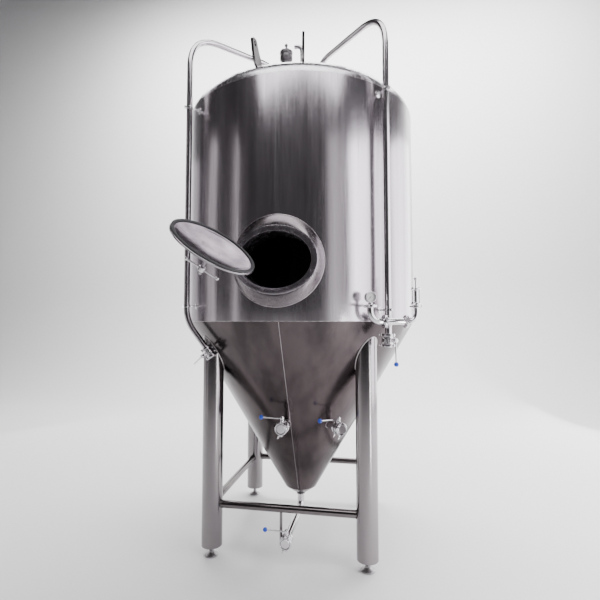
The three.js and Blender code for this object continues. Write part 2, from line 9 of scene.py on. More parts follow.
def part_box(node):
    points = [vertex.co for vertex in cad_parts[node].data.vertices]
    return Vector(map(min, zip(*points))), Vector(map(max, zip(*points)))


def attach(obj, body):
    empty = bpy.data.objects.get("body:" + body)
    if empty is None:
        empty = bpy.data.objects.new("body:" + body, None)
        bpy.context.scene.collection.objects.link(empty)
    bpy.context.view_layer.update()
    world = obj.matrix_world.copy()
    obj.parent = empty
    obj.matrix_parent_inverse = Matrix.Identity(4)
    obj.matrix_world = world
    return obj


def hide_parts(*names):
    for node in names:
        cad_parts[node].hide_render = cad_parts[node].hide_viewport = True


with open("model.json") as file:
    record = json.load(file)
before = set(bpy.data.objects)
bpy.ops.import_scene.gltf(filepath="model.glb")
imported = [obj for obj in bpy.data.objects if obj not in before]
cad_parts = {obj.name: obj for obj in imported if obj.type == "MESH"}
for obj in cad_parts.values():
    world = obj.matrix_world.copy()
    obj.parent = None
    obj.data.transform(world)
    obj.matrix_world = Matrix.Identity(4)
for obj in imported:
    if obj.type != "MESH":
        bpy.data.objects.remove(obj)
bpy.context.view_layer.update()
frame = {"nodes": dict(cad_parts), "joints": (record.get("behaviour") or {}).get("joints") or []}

# Camera and room. A wide lens at chest height, close to the tank and a little to its right,
# looks slightly up. The floor runs up into a pale wall, and soft panels stand around the tank.
barrel_low, barrel_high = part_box("barrel_cladding")
TANK_Y = (barrel_low.y + barrel_high.y) / 2
RADIUS = barrel_high.x
CAMERA_OUT = 3.391
CAMERA_HEIGHT = 1.5756
CAMERA_TURN = math.radians(10.0)
CAMERA_TILT = math.radians(3.07)

camera = bpy.data.objects.new("camera", bpy.data.cameras.new("camera"))
camera.data.lens = 25.41
camera.data.sensor_width = 36
camera.location = (
    CAMERA_OUT * math.sin(CAMERA_TURN),
    TANK_Y - CAMERA_OUT * math.cos(CAMERA_TURN),
    CAMERA_HEIGHT,
)
camera.rotation_euler = (math.pi / 2 + CAMERA_TILT, 0, CAMERA_TURN + math.radians(0.13))
bpy.context.scene.collection.objects.link(camera)
bpy.context.scene.camera = camera


def plain(name, colour, roughness):
    """A matt studio surface of one even colour."""
    material = bpy.data.materials.new(name)
    material.use_nodes = True
    shader = material.node_tree.nodes["Principled BSDF"]
    shader.inputs["Base Color"].default_value = (*colour, 1)
    shader.inputs["Roughness"].default_value = roughness
    return material


def sweep_floor():
    """One sheet: floor, a wide curve and the wall behind the tank."""
    bm = bmesh.new()
    wall, curve, half = 6.5, 2.5, 16
    line = [(-14, 0), (wall - curve, 0)]
    for i in range(1, 17):
        turn = math.pi / 2 * i / 16
        line.append((wall - curve + curve * math.sin(turn), curve - curve * math.cos(turn)))
    line.append((wall, 12))
    rows = [[bm.verts.new((x, y, z - 0.0005)) for x in (-half, half)] for y, z in line]
    for low, high in zip(rows, rows[1:]):
        bm.faces.new((low[0], low[1], high[1], high[0]))
    mesh = bpy.data.meshes.new("studio_floor")
    bm.to_mesh(mesh)
    bm.free()
    mesh.shade_smooth()
    floor = bpy.data.objects.new("studio_floor", mesh)
    bpy.context.scene.collection.objects.link(floor)
    mesh.materials.append(plain("studio_paper", (0.90, 0.90, 0.90), 0.85))


sweep_floor()


def soft_light(name, wide, tall, power, colour=(1, 1, 1)):
    """A rectangular light, still to be placed."""
    light = bpy.data.lights.new(name, "AREA")
    light.shape = "RECTANGLE"
    light.size, light.size_y = wide, tall
    light.energy = power
    light.color = colour
    lamp = bpy.data.objects.new(name, light)
    bpy.context.scene.collection.objects.link(lamp)
    return lamp


def panel(name, turn, out, height, wide, tall, power, colour):
    """A light panel that faces the tank from a compass turn about its axis."""
    lamp = soft_light(name, wide, tall, power, colour)
    turn = math.radians(turn)
    spot = Vector((out * math.sin(turn), TANK_Y - out * math.cos(turn), height))
    lamp.location = spot
    aim = Vector((0, TANK_Y, min(height, 2.2))) - spot
    lamp.rotation_euler = aim.to_track_quat("-Z", "Y").to_euler()


panel("right_panel", 72, 5.0, 2.6, 3.4, 4.8, 260, (0.97, 0.94, 1.0))
panel("side_panel", 122, 5.0, 2.6, 4.2, 4.8, 240, (0.98, 0.95, 1.0))
panel("front_strip", 40, 5.0, 2.8, 1.1, 4.4, 14, (1.0, 0.98, 1.0))
panel("left_strip", -78, 4.4, 2.4, 0.7, 4.6, 12, (1.0, 0.96, 0.98))
panel("narrow_strip", -49, 4.4, 2.4, 0.32, 4.6, 6, (1.0, 0.96, 0.98))
panel("left_panel", -118, 5.0, 2.4, 2.6, 4.4, 22, (0.98, 0.93, 1.0))
panel("top_panel", 10, 2.4, 6.4, 5.0, 3.0, 190, (1.0, 0.98, 1.0))

back_lamp = soft_light("back_light", 10.0, 4.0, 1500)
back_lamp.location = (0, TANK_Y + 3.0, 7.8)
back_lamp.rotation_euler = (math.radians(38), 0, 0)
low_lamp = soft_light("low_light", 0.14, 1.2, 12)
low_lamp.location = (1.98, -1.75, 0.64)
low_lamp.rotation_euler = (math.pi / 2, 0, math.radians(51))

world = bpy.data.worlds.new("room")
world.use_nodes = True
world.node_tree.nodes["Background"].inputs["Color"].default_value = (0.30, 0.28, 0.30, 1)
world.node_tree.nodes["Background"].inputs["Strength"].default_value = 0.20
bpy.context.scene.world = world

# Barrel cladding. A 3 mm stainless sheet rolled into a shell 1.74 m across and brushed up and
# down. It covers the foam, and an oval is cut in it for the manway neck.
BARREL_LOW = barrel_low.z
BARREL_TOP = barrel_high.z
SHEET = 0.003
MANWAY_HEIGHT = 1.95
NECK_WIDE, NECK_TALL, NECK_LIP = 0.22, 0.17, 0.04
FRONT = Matrix.Translation((0, TANK_Y, MANWAY_HEIGHT)) @ Matrix.Rotation(math.pi / 2, 4, "X")
AXIS = Matrix.Translation((0, TANK_Y, 0))
FINE = 256


def turns(steps):
    """The angles of evenly spaced spots round a circle."""
    return [2 * math.pi * i / steps for i in range(steps)]


def ringed(radius, height, steps, matrix, squeeze=1.0):
    """Points round a circle, or round an oval when it is squeezed; a single point on the axis."""
    if radius < 1e-6:
        return [matrix @ Vector((0, 0, height))]
    spots = []
    for turn in turns(steps):
        spots.append(matrix @ Vector((radius * math.cos(turn), radius * squeeze * math.sin(turn), height)))
    return spots


def loft(bm, rings, closed=True):
    """Skins ring after ring; closed joins the last to the first, and open caps both ends."""
    loops = [[bm.verts.new(spot) for spot in ring] for ring in rings]
    after = loops[1:] + loops[:1] if closed else loops[1:]
    for low, high in zip(loops, after):
        count = max(len(low), len(high))
        for i in range(count):
            j = (i + 1) % count
            corners = (low[i % len(low)], low[j % len(low)], high[j % len(high)], high[i % len(high)])
            corners = list(dict.fromkeys(corners))
            if len(corners) > 2:
                bm.faces.new(corners)
    if not closed:
        bm.faces.new(loops[0])
        bm.faces.new(reversed(loops[-1]))


def softened(profile, radius):
    """Rounds each corner of a closed profile, so that edges catch the light."""
    soft = []
    for i, (x, y) in enumerate(profile):
        corner = Vector((x, y))
        before = Vector(profile[i - 1]) - corner
        after = Vector(profile[(i + 1) % len(profile)]) - corner
        if x < 1e-6:
            soft.append((x, y))
            continue
        near = corner + before.normalized() * min(radius, before.length * 0.45)
        far = corner + after.normalized() * min(radius, after.length * 0.45)
        for share in (0, 0.33, 0.67, 1):
            bezier = near * (1 - share) ** 2 + corner * 2 * share * (1 - share) + far * share**2
            soft.append(tuple(bezier))
    return soft


def turned(bm, profile, matrix, steps=64, soft=0.001, squeeze=1.0):
    """A turned solid about the matrix's Z, from a closed profile of radius and height."""
    shape = softened(profile, soft) if soft else profile
    loft(bm, [ringed(r, z, steps, matrix, squeeze) for r, z in shape])


def finished(name, bm, material, body, *nodes, slot, crease=40):
    """Makes the mesh a piece on its body, in place of its CAD nodes, shaded smooth."""
    bmesh.ops.recalc_face_normals(bm, faces=bm.faces)
    mesh = bpy.data.meshes.new(name)
    bm.to_mesh(mesh)
    bm.free()
    mesh.shade_smooth()
    mesh.set_sharp_from_angle(angle=math.radians(crease))
    mesh.materials.append(material)
    piece = bpy.data.objects.new(name, mesh)
    bpy.context.scene.collection.objects.link(piece)
    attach(piece, body)
    if nodes:
        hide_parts(*nodes)
    return piece


def brushed(name, light, dark, rough, grain, sway=0.0, wear=0.25, bands=(2.3, 2.3, 0.6)):
    """Stainless steel: drawn grain, broad cloudy stain, worn bright edges, and a little sheet sway."""
    material = bpy.data.materials.new(name)
    material.use_nodes = True
    nodes, links = material.node_tree.nodes, material.node_tree.links
    shader = nodes["Principled BSDF"]
    shader.inputs["Metallic"].default_value = 1
    place = nodes.new("ShaderNodeTexCoord")

    def noise(stretch, scale, detail):
        mapping = nodes.new("ShaderNodeMapping")
        mapping.inputs["Scale"].default_value = stretch
        links.new(place.outputs["Object"], mapping.inputs["Vector"])
        pattern = nodes.new("ShaderNodeTexNoise")
        pattern.inputs["Scale"].default_value = scale
        pattern.inputs["Detail"].default_value = detail
        links.new(mapping.outputs["Vector"], pattern.inputs["Vector"])
        return pattern.outputs["Fac"]

    streaks = noise(grain, 1.0, 4)
    clouds = noise(bands, 1.0, 3)
    tint = nodes.new("ShaderNodeMix")
    tint.data_type = "RGBA"
    tint.inputs["A"].default_value = (*dark, 1)
    tint.inputs["B"].default_value = (*light, 1)
    spread = nodes.new("ShaderNodeMapRange")
    spread.inputs["From Min"].default_value = 0.35
    spread.inputs["From Max"].default_value = 0.65
    links.new(clouds, spread.inputs["Value"])
    links.new(spread.outputs["Result"], tint.inputs["Factor"])
    edge = nodes.new("ShaderNodeMapRange")
    edge.inputs["From Min"].default_value = 0.52
    edge.inputs["From Max"].default_value = 0.62
    edge.inputs["To Max"].default_value = wear
    geometry = nodes.new("ShaderNodeNewGeometry")
    links.new(geometry.outputs["Pointiness"], edge.inputs["Value"])
    worn = nodes.new("ShaderNodeMix")
    worn.data_type = "RGBA"
    worn.inputs["B"].default_value = (0.86, 0.85, 0.87, 1)
    links.new(tint.outputs["Result"], worn.inputs["A"])
    links.new(edge.outputs["Result"], worn.inputs["Factor"])
    links.new(worn.outputs["Result"], shader.inputs["Base Color"])
    roughness = nodes.new("ShaderNodeMapRange")
    roughness.inputs["From Min"].default_value = 0.3
    roughness.inputs["From Max"].default_value = 0.7
    roughness.inputs["To Min"].default_value = rough * 0.75
    roughness.inputs["To Max"].default_value = rough * 1.3
    links.new(streaks, roughness.inputs["Value"])
    links.new(roughness.outputs["Result"], shader.inputs["Roughness"])
    bump = nodes.new("ShaderNodeBump")
    bump.inputs["Strength"].default_value = 0.025
    bump.inputs["Distance"].default_value = 0.0004
    links.new(streaks, bump.inputs["Height"])
    if sway:
        swell = nodes.new("ShaderNodeBump")
        swell.inputs["Strength"].default_value = 1.0
        swell.inputs["Distance"].default_value = sway
        links.new(noise((4.5, 4.5, 0.35), 1.0, 1), swell.inputs["Height"])
        links.new(swell.outputs["Normal"], bump.inputs["Normal"])
    links.new(bump.outputs["Normal"], shader.inputs["Normal"])
    return material


barrel_steel = brushed("barrel_steel", (0.66, 0.62, 0.66), (0.36, 0.33, 0.35), 0.20, (300, 300, 4), 0.0030,
                       0.25, (7, 7, 0.12))


def oval_ring(wide, tall, out, steps=160):
    """Points round an oval in front of the tank, about the manway's middle."""
    return [FRONT @ Vector((wide * math.cos(turn), tall * math.sin(turn), out)) for turn in turns(steps)]


def oval_cutter(grow, near, far):
    """A tool the shape of the manway neck, grown a little, from near to far along the front."""
    bm = bmesh.new()
    wide, tall = NECK_WIDE + NECK_LIP + grow, NECK_TALL + NECK_LIP + grow
    loft(bm, [oval_ring(wide, tall, out, 96) for out in (near, far)], closed=False)
    bmesh.ops.recalc_face_normals(bm, faces=bm.faces)
    mesh = bpy.data.meshes.new("cutter")
    bm.to_mesh(mesh)
    bm.free()
    cutter = bpy.data.objects.new("cutter", mesh)
    bpy.context.scene.collection.objects.link(cutter)
    return cutter


def cut_away(piece, cutter, crease):
    """Cuts the tool out of the piece's mesh and throws the tool away."""
    modifier = piece.modifiers.new("cut", "BOOLEAN")
    modifier.operation = "DIFFERENCE"
    modifier.solver = "EXACT"
    modifier.object = cutter
    bpy.context.view_layer.update()
    solved = bpy.data.meshes.new_from_object(piece.evaluated_get(bpy.context.evaluated_depsgraph_get()))
    piece.modifiers.clear()
    piece.data = solved
    solved.shade_smooth()
    solved.set_sharp_from_angle(angle=math.radians(crease))
    bpy.data.objects.remove(cutter)


bm = bmesh.new()
turned(bm, [
    (RADIUS - SHEET, BARREL_LOW), (RADIUS, BARREL_LOW), (RADIUS, BARREL_TOP), (RADIUS - SHEET, BARREL_TOP),
], AXIS, FINE, 0.0008)
barrel = finished("barrel_skin", bm, barrel_steel, "tank", "barrel_cladding", slot="cladding", crease=30)
cut_away(barrel, oval_cutter(0.001, 0.6, 1.0), 30)

# Head cladding. A dished sheet pressed in one piece, welded round the barrel's top edge and left a
# little brighter. Narrow weld beads run round the joints above and below the barrel.
head_low, head_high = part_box("head_cladding")
TOP_PORT = 0.06
HEAD_RISE = head_high.z - head_low.z


def head_line(radius, rise):
    """The dished head's section, from its edge to the centre port."""
    line = []
    count = 28
    for i in range(count):
        turn = math.pi / 2 * i / count
        if radius * math.cos(turn) > TOP_PORT:
            line.append((radius * math.cos(turn), head_low.z + rise * math.sin(turn)))
    line.append((TOP_PORT, head_low.z + rise * math.sqrt(1 - (TOP_PORT / radius) ** 2)))
    return line


head_steel = brushed("head_steel", (0.70, 0.68, 0.71), (0.56, 0.53, 0.56), 0.25, (24, 24, 24), 0.0)
bm = bmesh.new()
inside_line = head_line(RADIUS - SHEET, HEAD_RISE - SHEET)
turned(bm, head_line(RADIUS, HEAD_RISE) + inside_line[::-1], AXIS, FINE, 0)
finished("head_skin", bm, head_steel, "tank", "head_cladding", slot="cladding", crease=60)


def weld(bm, spots, radius):
    """A rippled bead laid along a closed line of spots."""
    rings = []
    count = len(spots)
    for i, spot in enumerate(spots):
        along = (spots[(i + 1) % count] - spots[i - 1]).normalized()
        side = along.cross(Vector((0, 0, 1)))
        side = side.normalized() if side.length > 1e-4 else Vector((1, 0, 0))
        up = side.cross(along)
        size = radius * (1 + 0.12 * math.sin(i * 2.1))
        rings.append([spot + side * size * math.cos(turn) + up * size * math.sin(turn) for turn in turns(10)])
    loft(bm, rings)


weld_steel = brushed("weld_steel", (0.66, 0.62, 0.62), (0.40, 0.36, 0.38), 0.35, (60, 60, 60), 0.0)
bm = bmesh.new()
weld(bm, ringed(RADIUS - 0.0022, BARREL_TOP + 0.0005, 360, AXIS), 0.002)
weld(bm, ringed(RADIUS - 0.0022, BARREL_LOW - 0.0005, 360, AXIS), 0.002)
finished("barrel_welds", bm, weld_steel, "tank", slot="cladding")

# Cone cladding. A 3 mm sheet rolled to a 61 degree cone, with one welded seam down the front and two
# stubs welded in for the racking and sample valves. Its steel is painted near black, darker than the barrel:
# painted shade in place of the dark floor the cone reflects.
CONE_TOP = BARREL_LOW - 0.0003
CONE_END = 0.316
CONE_END_RADIUS = 0.121
CONE_SLOPE = (RADIUS - CONE_END_RADIUS) / (CONE_TOP - CONE_END)
# Near-black base colour: painted shade standing in for the dark surroundings the cone reflects.
cone_steel_painted_shade = brushed("cone_steel_painted_shade", (0.098, 0.080, 0.082), (0.046, 0.038, 0.039), 0.22, (260, 260, 9), 0.004,
                     0.25, (6, 6, 0.5))


def cone_radius(height):
    return CONE_END_RADIUS + CONE_SLOPE * (height - CONE_END)


def around(circle, degrees, height):
    """A spot at a distance from the tank's axis; 0 degrees is the front, positive to the right."""
    turn = math.radians(degrees)
    return Vector((circle * math.sin(turn), TANK_Y - circle * math.cos(turn), height))


def rod(bm, start, end, radius, steps=24):
    """A round bar between two spots, with softened ends."""
    along = end - start
    turn = along.to_track_quat("Z", "Y").to_matrix().to_4x4()
    length = along.length
    turned(bm, [(0, 0), (radius, 0), (radius, length), (0, length)],
           Matrix.Translation(start) @ turn, steps, 0.0008)


bm = bmesh.new()
turned(bm, [
    (RADIUS, CONE_TOP), (RADIUS - SHEET, CONE_TOP), (CONE_END_RADIUS - SHEET, CONE_END),
    (0.030, CONE_END - 0.056), (0.030, CONE_END - 0.062), (CONE_END_RADIUS, CONE_END),
], AXIS, FINE, 0.0008)
finished("cone_skin", bm, cone_steel_painted_shade, "tank", "cone_cladding", slot="cladding", crease=30)

polished = brushed("polished_steel", (0.80, 0.78, 0.80), (0.66, 0.64, 0.66), 0.11, (90, 90, 90), 0.0, 0.5)
STUBS = {"racking": (-2, 0.889, 0.560), "sample": (36, 0.872, 0.545)}
STUB_WELD = 0.0275
bm = bmesh.new()
seams = bmesh.new()
for degrees, height, reach in STUBS.values():
    face = cone_radius(height)
    rod(bm, around(face - 0.03, degrees, height), around(reach - 0.0003, degrees, height), 0.027, 48)
    flange = around(reach - 0.004, degrees, height)
    rod(bm, flange, around(reach - 0.0003, degrees, height), 0.032, 48)
    ring = []
    for turn in turns(72):
        aside = math.degrees(STUB_WELD * math.cos(turn) / face)
        level = height + STUB_WELD * math.sin(turn)
        ring.append(around(cone_radius(level) + 0.0008, degrees + aside, level))
    weld(seams, ring, 0.0026)
finished("cone_stubs", bm, polished, "tank", slot="cladding")
SEAM_HALF, SEAM_CROWN, SEAM_ROOT = 0.0035, 0.0013, 0.002
strip = []
for i in range(126):
    level = 0.33 + 0.01 * i
    spot = around(cone_radius(level) - 0.0006, 1.0, level)
    left, right = spot + Vector((-SEAM_HALF, 0, 0)), spot + Vector((SEAM_HALF, 0, 0))
    crown = left + Vector((SEAM_HALF, -SEAM_CROWN, 0))
    strip.append([left, crown, right, right + Vector((0, SEAM_ROOT, 0))])
loft(seams, strip, closed=False)
# The seam's steel is a darkened copy of the weld steel: painted shade to match the cone's painted colour.
cone_weld_painted_shade = brushed("cone_weld_painted_shade", (0.30, 0.26, 0.27), (0.13, 0.11, 0.115), 0.30, (60, 60, 60), 0.0)
finished("cone_welds", seams, cone_weld_painted_shade, "tank", slot="cladding")

# Foam and inner vessel. Rigid foam fills the space behind the cladding, and the inner vessel is
# a 5 mm shell of the same steel, seen only through the open manway. Its colour is darkened: painted
# shade of the tank's dark inside.


def grainy(name, colour, shade, rough, scale, bump_size, metal=0.0):
    """Foam, rubber, plastic or cast metal: two close colours mixed by a fine grain."""
    material = bpy.data.materials.new(name)
    material.use_nodes = True
    nodes, links = material.node_tree.nodes, material.node_tree.links
    shader = nodes["Principled BSDF"]
    shader.inputs["Metallic"].default_value = metal
    place = nodes.new("ShaderNodeTexCoord")
    grain = nodes.new("ShaderNodeTexNoise")
    grain.inputs["Scale"].default_value = scale
    grain.inputs["Detail"].default_value = 5
    links.new(place.outputs["Object"], grain.inputs["Vector"])
    mix = nodes.new("ShaderNodeMix")
    mix.data_type = "RGBA"
    mix.inputs["A"].default_value = (*colour, 1)
    mix.inputs["B"].default_value = (*shade, 1)
    links.new(grain.outputs["Fac"], mix.inputs["Factor"])
    links.new(mix.outputs["Result"], shader.inputs["Base Color"])
    spread = nodes.new("ShaderNodeMapRange")
    spread.inputs["To Min"].default_value = rough * 0.8
    spread.inputs["To Max"].default_value = rough * 1.2
    links.new(grain.outputs["Fac"], spread.inputs["Value"])
    links.new(spread.outputs["Result"], shader.inputs["Roughness"])
    bump = nodes.new("ShaderNodeBump")
    bump.inputs["Strength"].default_value = 0.3
    bump.inputs["Distance"].default_value = bump_size
    links.new(grain.outputs["Fac"], bump.inputs["Height"])
    links.new(bump.outputs["Normal"], shader.inputs["Normal"])
    return material


def coat(node, material):
    """Gives a CAD node that is shown as it is its finish."""
    slots = frame["nodes"][node].data.materials
    slots.clear()
    slots.append(material)


coat("insulation", grainy("foam", (0.80, 0.70, 0.45), (0.70, 0.58, 0.34), 0.9, 180, 0.001))
coat("inner_vessel", brushed("vessel_steel_painted_shade", (0.30, 0.29, 0.30), (0.20, 0.19, 0.20), 0.4, (120, 120, 20)))

# Manway. A thick oval neck is welded through the wall, 440 by 340 mm inside, with a satin seat
# for the gasket. A bevelled collar, pressed to the barrel's curve, closes the cladding round it.
neck_steel = brushed("neck_steel", (0.52, 0.48, 0.52), (0.38, 0.35, 0.38), 0.24, (22, 22, 22), 0.0, 0.3)
# The collar's steel is painted dark: painted shade of the recess round the manway neck.
collar_steel_painted_shade = brushed("collar_steel_painted_shade", (0.19, 0.168, 0.178), (0.125, 0.110, 0.117), 0.26, (22, 22, 22),
                       0.0, 0.3)
NECK_INNER, NECK_FACE = 0.73, 0.915
bm = bmesh.new()
loft(bm, [oval_ring(NECK_WIDE + grow, NECK_TALL + grow, out) for grow, out in (
    (0, NECK_INNER), (0, NECK_FACE - 0.004), (0.0015, NECK_FACE - 0.001), (0.005, NECK_FACE),
    (NECK_LIP - 0.006, NECK_FACE), (NECK_LIP - 0.0015, NECK_FACE - 0.0015),
    (NECK_LIP, NECK_FACE - 0.006), (NECK_LIP, NECK_INNER))])
finished("manway_neck_ring", bm, neck_steel, "tank", "manway_neck", slot="cladding")

COLLAR_WIDE, COLLAR_TALL = 0.289, 0.281
COLLAR_CREST = TANK_Y - NECK_FACE + 0.011


def on_barrel(x, z, lift):
    """A spot on the barrel's front at a place across and a height above the manway's middle."""
    return Vector((x, TANK_Y - math.sqrt((RADIUS + lift) ** 2 - x * x), MANWAY_HEIGHT + z))


bm = bmesh.new()
rings = []
hole_wide, hole_tall = NECK_WIDE + NECK_LIP + 0.001, NECK_TALL + NECK_LIP + 0.001
for share, lift in ((0, None), (0.06, 0.0), (0.5, 0.0), (0.94, 0.0), (0.985, 0.004), (1, 0.001),
                    (0.5, -0.001)):
    ring = []
    for turn in turns(160):
        near = Vector((hole_wide * math.cos(turn), hole_tall * math.sin(turn)))
        far = Vector((COLLAR_WIDE * math.cos(turn), COLLAR_TALL * math.sin(turn)))
        flat = near.lerp(far, share)
        spot = on_barrel(flat.x, flat.y, lift or 0.0)
        if lift is None:
            spot.y = COLLAR_CREST + 0.002
        elif lift == 0.0:
            edge = on_barrel(far.x, far.y, 0.006).y
            spot.y = COLLAR_CREST + (edge - COLLAR_CREST) * share
        ring.append(spot)
    rings.append(ring)
loft(bm, rings)
finished("manway_collar_plate", bm, collar_steel_painted_shade, "tank", "manway_collar", slot="cladding")
bm = bmesh.new()
weld(bm, [on_barrel(COLLAR_WIDE * 1.002 * math.cos(turn), COLLAR_TALL * 1.002 * math.sin(turn), 0.0012)
          for turn in turns(240)], 0.0022)
finished("collar_weld", bm, weld_steel, "tank", slot="cladding")

# Legs. Four lengths of 139.7 mm stainless tube, coped to the cone and welded to it, with a
# plate let into each lower end for the foot's stem.
# The legs' steel is painted dark: painted shade standing in for the dark floor the legs reflect.
leg_steel_painted_shade = brushed("leg_steel_painted_shade", (0.185, 0.163, 0.166), (0.110, 0.097, 0.099), 0.16, (9, 9, 240), 0.0)
LEG_RADIUS = 0.06985
LEG_BOTTOM = 0.07
STEM_HOLE = 0.0125
WALL_SHARE = 0.06
CORNERS = {"front_left": -45, "front_right": 45, "rear_left": -135, "rear_right": 135}
leg_spots = {}
for corner, degrees in CORNERS.items():
    low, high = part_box("leg_" + corner)
    leg_spots[corner] = Vector(((low.x + high.x) / 2, (low.y + high.y) / 2, 0))
for corner, spot in leg_spots.items():
    bm = bmesh.new()
    rings = []
    for radius, level in ((STEM_HOLE, LEG_BOTTOM + 0.003), (LEG_RADIUS - 0.005, LEG_BOTTOM + 0.003),
                          (LEG_RADIUS - 0.004, LEG_BOTTOM), (LEG_RADIUS - 0.0012, LEG_BOTTOM),
                          (LEG_RADIUS, LEG_BOTTOM + 0.0012), (LEG_RADIUS, None)):
        ring = []
        for turn in turns(96):
            edge = spot + Vector((radius * math.cos(turn), radius * math.sin(turn), 0))
            reach = math.hypot(edge.x, edge.y - TANK_Y)
            edge.z = CONE_END + (reach - CONE_END_RADIUS) / CONE_SLOPE - 0.001 if level is None else level
            ring.append(edge)
        rings.append(ring)
    inner = []
    for p in rings[-1]:
        inward = (spot - p) * WALL_SHARE
        inner.append(Vector((p.x + inward.x, p.y + inward.y, p.z - 0.004)))
    rings.append(inner)
    rings.append([Vector((p.x, p.y, LEG_BOTTOM + 0.012)) for p in inner])
    rings.append(ringed(STEM_HOLE, LEG_BOTTOM + 0.012, 96, Matrix.Translation(spot)))
    loft(bm, rings)
    finished("leg_tube_" + corner, bm, leg_steel_painted_shade, "tank", "leg_" + corner, slot="frame_tube")
    bm = bmesh.new()
    bead = [p + (p - spot - Vector((0, 0, p.z))).normalized() * 0.0005 for p in rings[5]]
    weld(bm, bead, 0.0035)
    finished("leg_weld_" + corner, bm, weld_steel, "tank", slot="frame_tube")

# Feet. Each leg stands on a cast pad 90 mm across with a threaded stem and a lock nut.
cast_steel = grainy("cast_steel", (0.44, 0.43, 0.43), (0.30, 0.29, 0.30), 0.42, 260, 0.0006, 1.0)


def nut(bm, spot, across, low, high, direction=None):
    """A hexagonal nut with chamfered corners."""
    turn = (direction or Vector((0, 0, 1))).to_track_quat("Z", "Y").to_matrix().to_4x4()
    radius = across / math.sqrt(3)
    turned(bm, [(0, low), (radius * 0.93, low), (radius, low + 0.0015), (radius, high - 0.0015),
                (radius * 0.93, high), (0, high)], Matrix.Translation(spot) @ turn, 6, 0)


for corner, spot in leg_spots.items():
    bm = bmesh.new()
    place = Matrix.Translation(spot)
    turned(bm, [(0, 0), (0.045, 0), (0.045, 0.008), (0.024, 0.017), (0.017, 0.022), (0, 0.022)],
           place, 64, 0.0015)
    thread = [(0, 0.02)]
    for i in range(44):
        thread.append((0.0118 if i % 2 else 0.0108, 0.021 + 0.002 * i))
    thread.append((0, 0.109))
    turned(bm, thread, place, 32, 0)
    nut(bm, spot, 0.030, 0.022, 0.034)
    nut(bm, spot, 0.034, 0.056, LEG_BOTTOM - 0.0005)
    finished("foot_pad_" + corner, bm, cast_steel, "tank", "foot_" + corner, slot="cast_steel", crease=25)

# Rails. Four lengths of 50.8 mm stainless tube between the legs, each end welded on with a
# rounded bead. A thin stay hangs from the front one beside the outlet pipe.
rail_steel = brushed("rail_steel", (0.160, 0.142, 0.144), (0.100, 0.090, 0.092), 0.20, (200, 9, 200), 0.0)
RAIL_RADIUS = 0.0254
RAIL_HEIGHT = (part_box("rail_rear")[0].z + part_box("rail_rear")[1].z) / 2
STRUT_X = -0.042
OUTLET_LOW = 0.15
for name, start, end in (("front", "front_left", "front_right"), ("rear", "rear_left", "rear_right"),
                         ("left", "front_left", "rear_left"), ("right", "front_right", "rear_right")):
    bm = bmesh.new()
    lift = Vector((0, 0, RAIL_HEIGHT))
    reach = (leg_spots[end] - leg_spots[start]).normalized() * (LEG_RADIUS - 0.004)
    start_spot, end_spot = leg_spots[start] + lift + reach, leg_spots[end] + lift - reach
    rod(bm, start_spot, end_spot, RAIL_RADIUS, 48)
    for spot, sign in ((start_spot, 1), (end_spot, -1)):
        turn = reach.to_track_quat("Z", "Y").to_matrix().to_4x4()
        place = Matrix.Translation(spot + reach.normalized() * 0.0045 * sign) @ turn
        turned(bm, [(0.0245, -0.003), (0.0284, -0.003), (0.0265, 0.002), (0.0245, 0.002)], place, 48, 0.001)
    if name == "front":
        strut_top = Vector((STRUT_X, leg_spots[start].y, RAIL_HEIGHT))
        rod(bm, Vector((STRUT_X, strut_top.y, OUTLET_LOW - 0.03)), strut_top, 0.009)
    finished("rail_tube_" + name, bm, rail_steel, "tank", "rail_" + name, slot="frame_tube")

# Butterfly valves. Each has a turned body between two ferrules, a stem with a hub, and a lever,
# all but one with a blue ball. Clamps with wing nuts hold it to its pipe and to a blank cap.
blue = grainy("blue_plastic", (0.012, 0.05, 0.42), (0.02, 0.08, 0.55), 0.28, 300, 0.0001)
HALF = 0.032
STEM = 0.058
LEVER = 0.128


def bent(corners, bends, steps=14):
    """A route through corners, rounded at each by one shared bend or by its own."""
    spots = [corners[0]]
    if isinstance(bends, float):
        bends = [bends] * (len(corners) - 2)
    for before, corner, after, bend in zip(corners, corners[1:], corners[2:], bends):
        near = corner + (before - corner).normalized() * bend
        far = corner + (after - corner).normalized() * bend
        for i in range(steps + 1):
            share = i / steps
            spots.append(near * (1 - share) ** 2 + corner * 2 * share * (1 - share) + far * share**2)
    spots.append(corners[-1])
    return spots


def tube(bm, spots, radius, steps=32):
    """A pipe along a route, its ends capped."""
    rings = []
    side = None
    for i, spot in enumerate(spots):
        along = (spots[min(i + 1, len(spots) - 1)] - spots[max(i - 1, 0)]).normalized()
        if side is None:
            side = along.orthogonal().normalized()
        side = (side - along * side.dot(along)).normalized()
        up = along.cross(side)
        rings.append([spot + side * radius * math.cos(turn) + up * radius * math.sin(turn)
                      for turn in turns(steps)])
    loft(bm, rings, closed=False)


def ball_line(radius, centre, steps, first=0):
    """A ball's outline, from its near end to its far one; first skips what its stem covers."""
    line = []
    for i in range(first, steps + 1):
        turn = math.pi * i / steps
        line.append((radius * math.sin(turn) if 0 < i < steps else 0, centre - radius * math.cos(turn)))
    return line


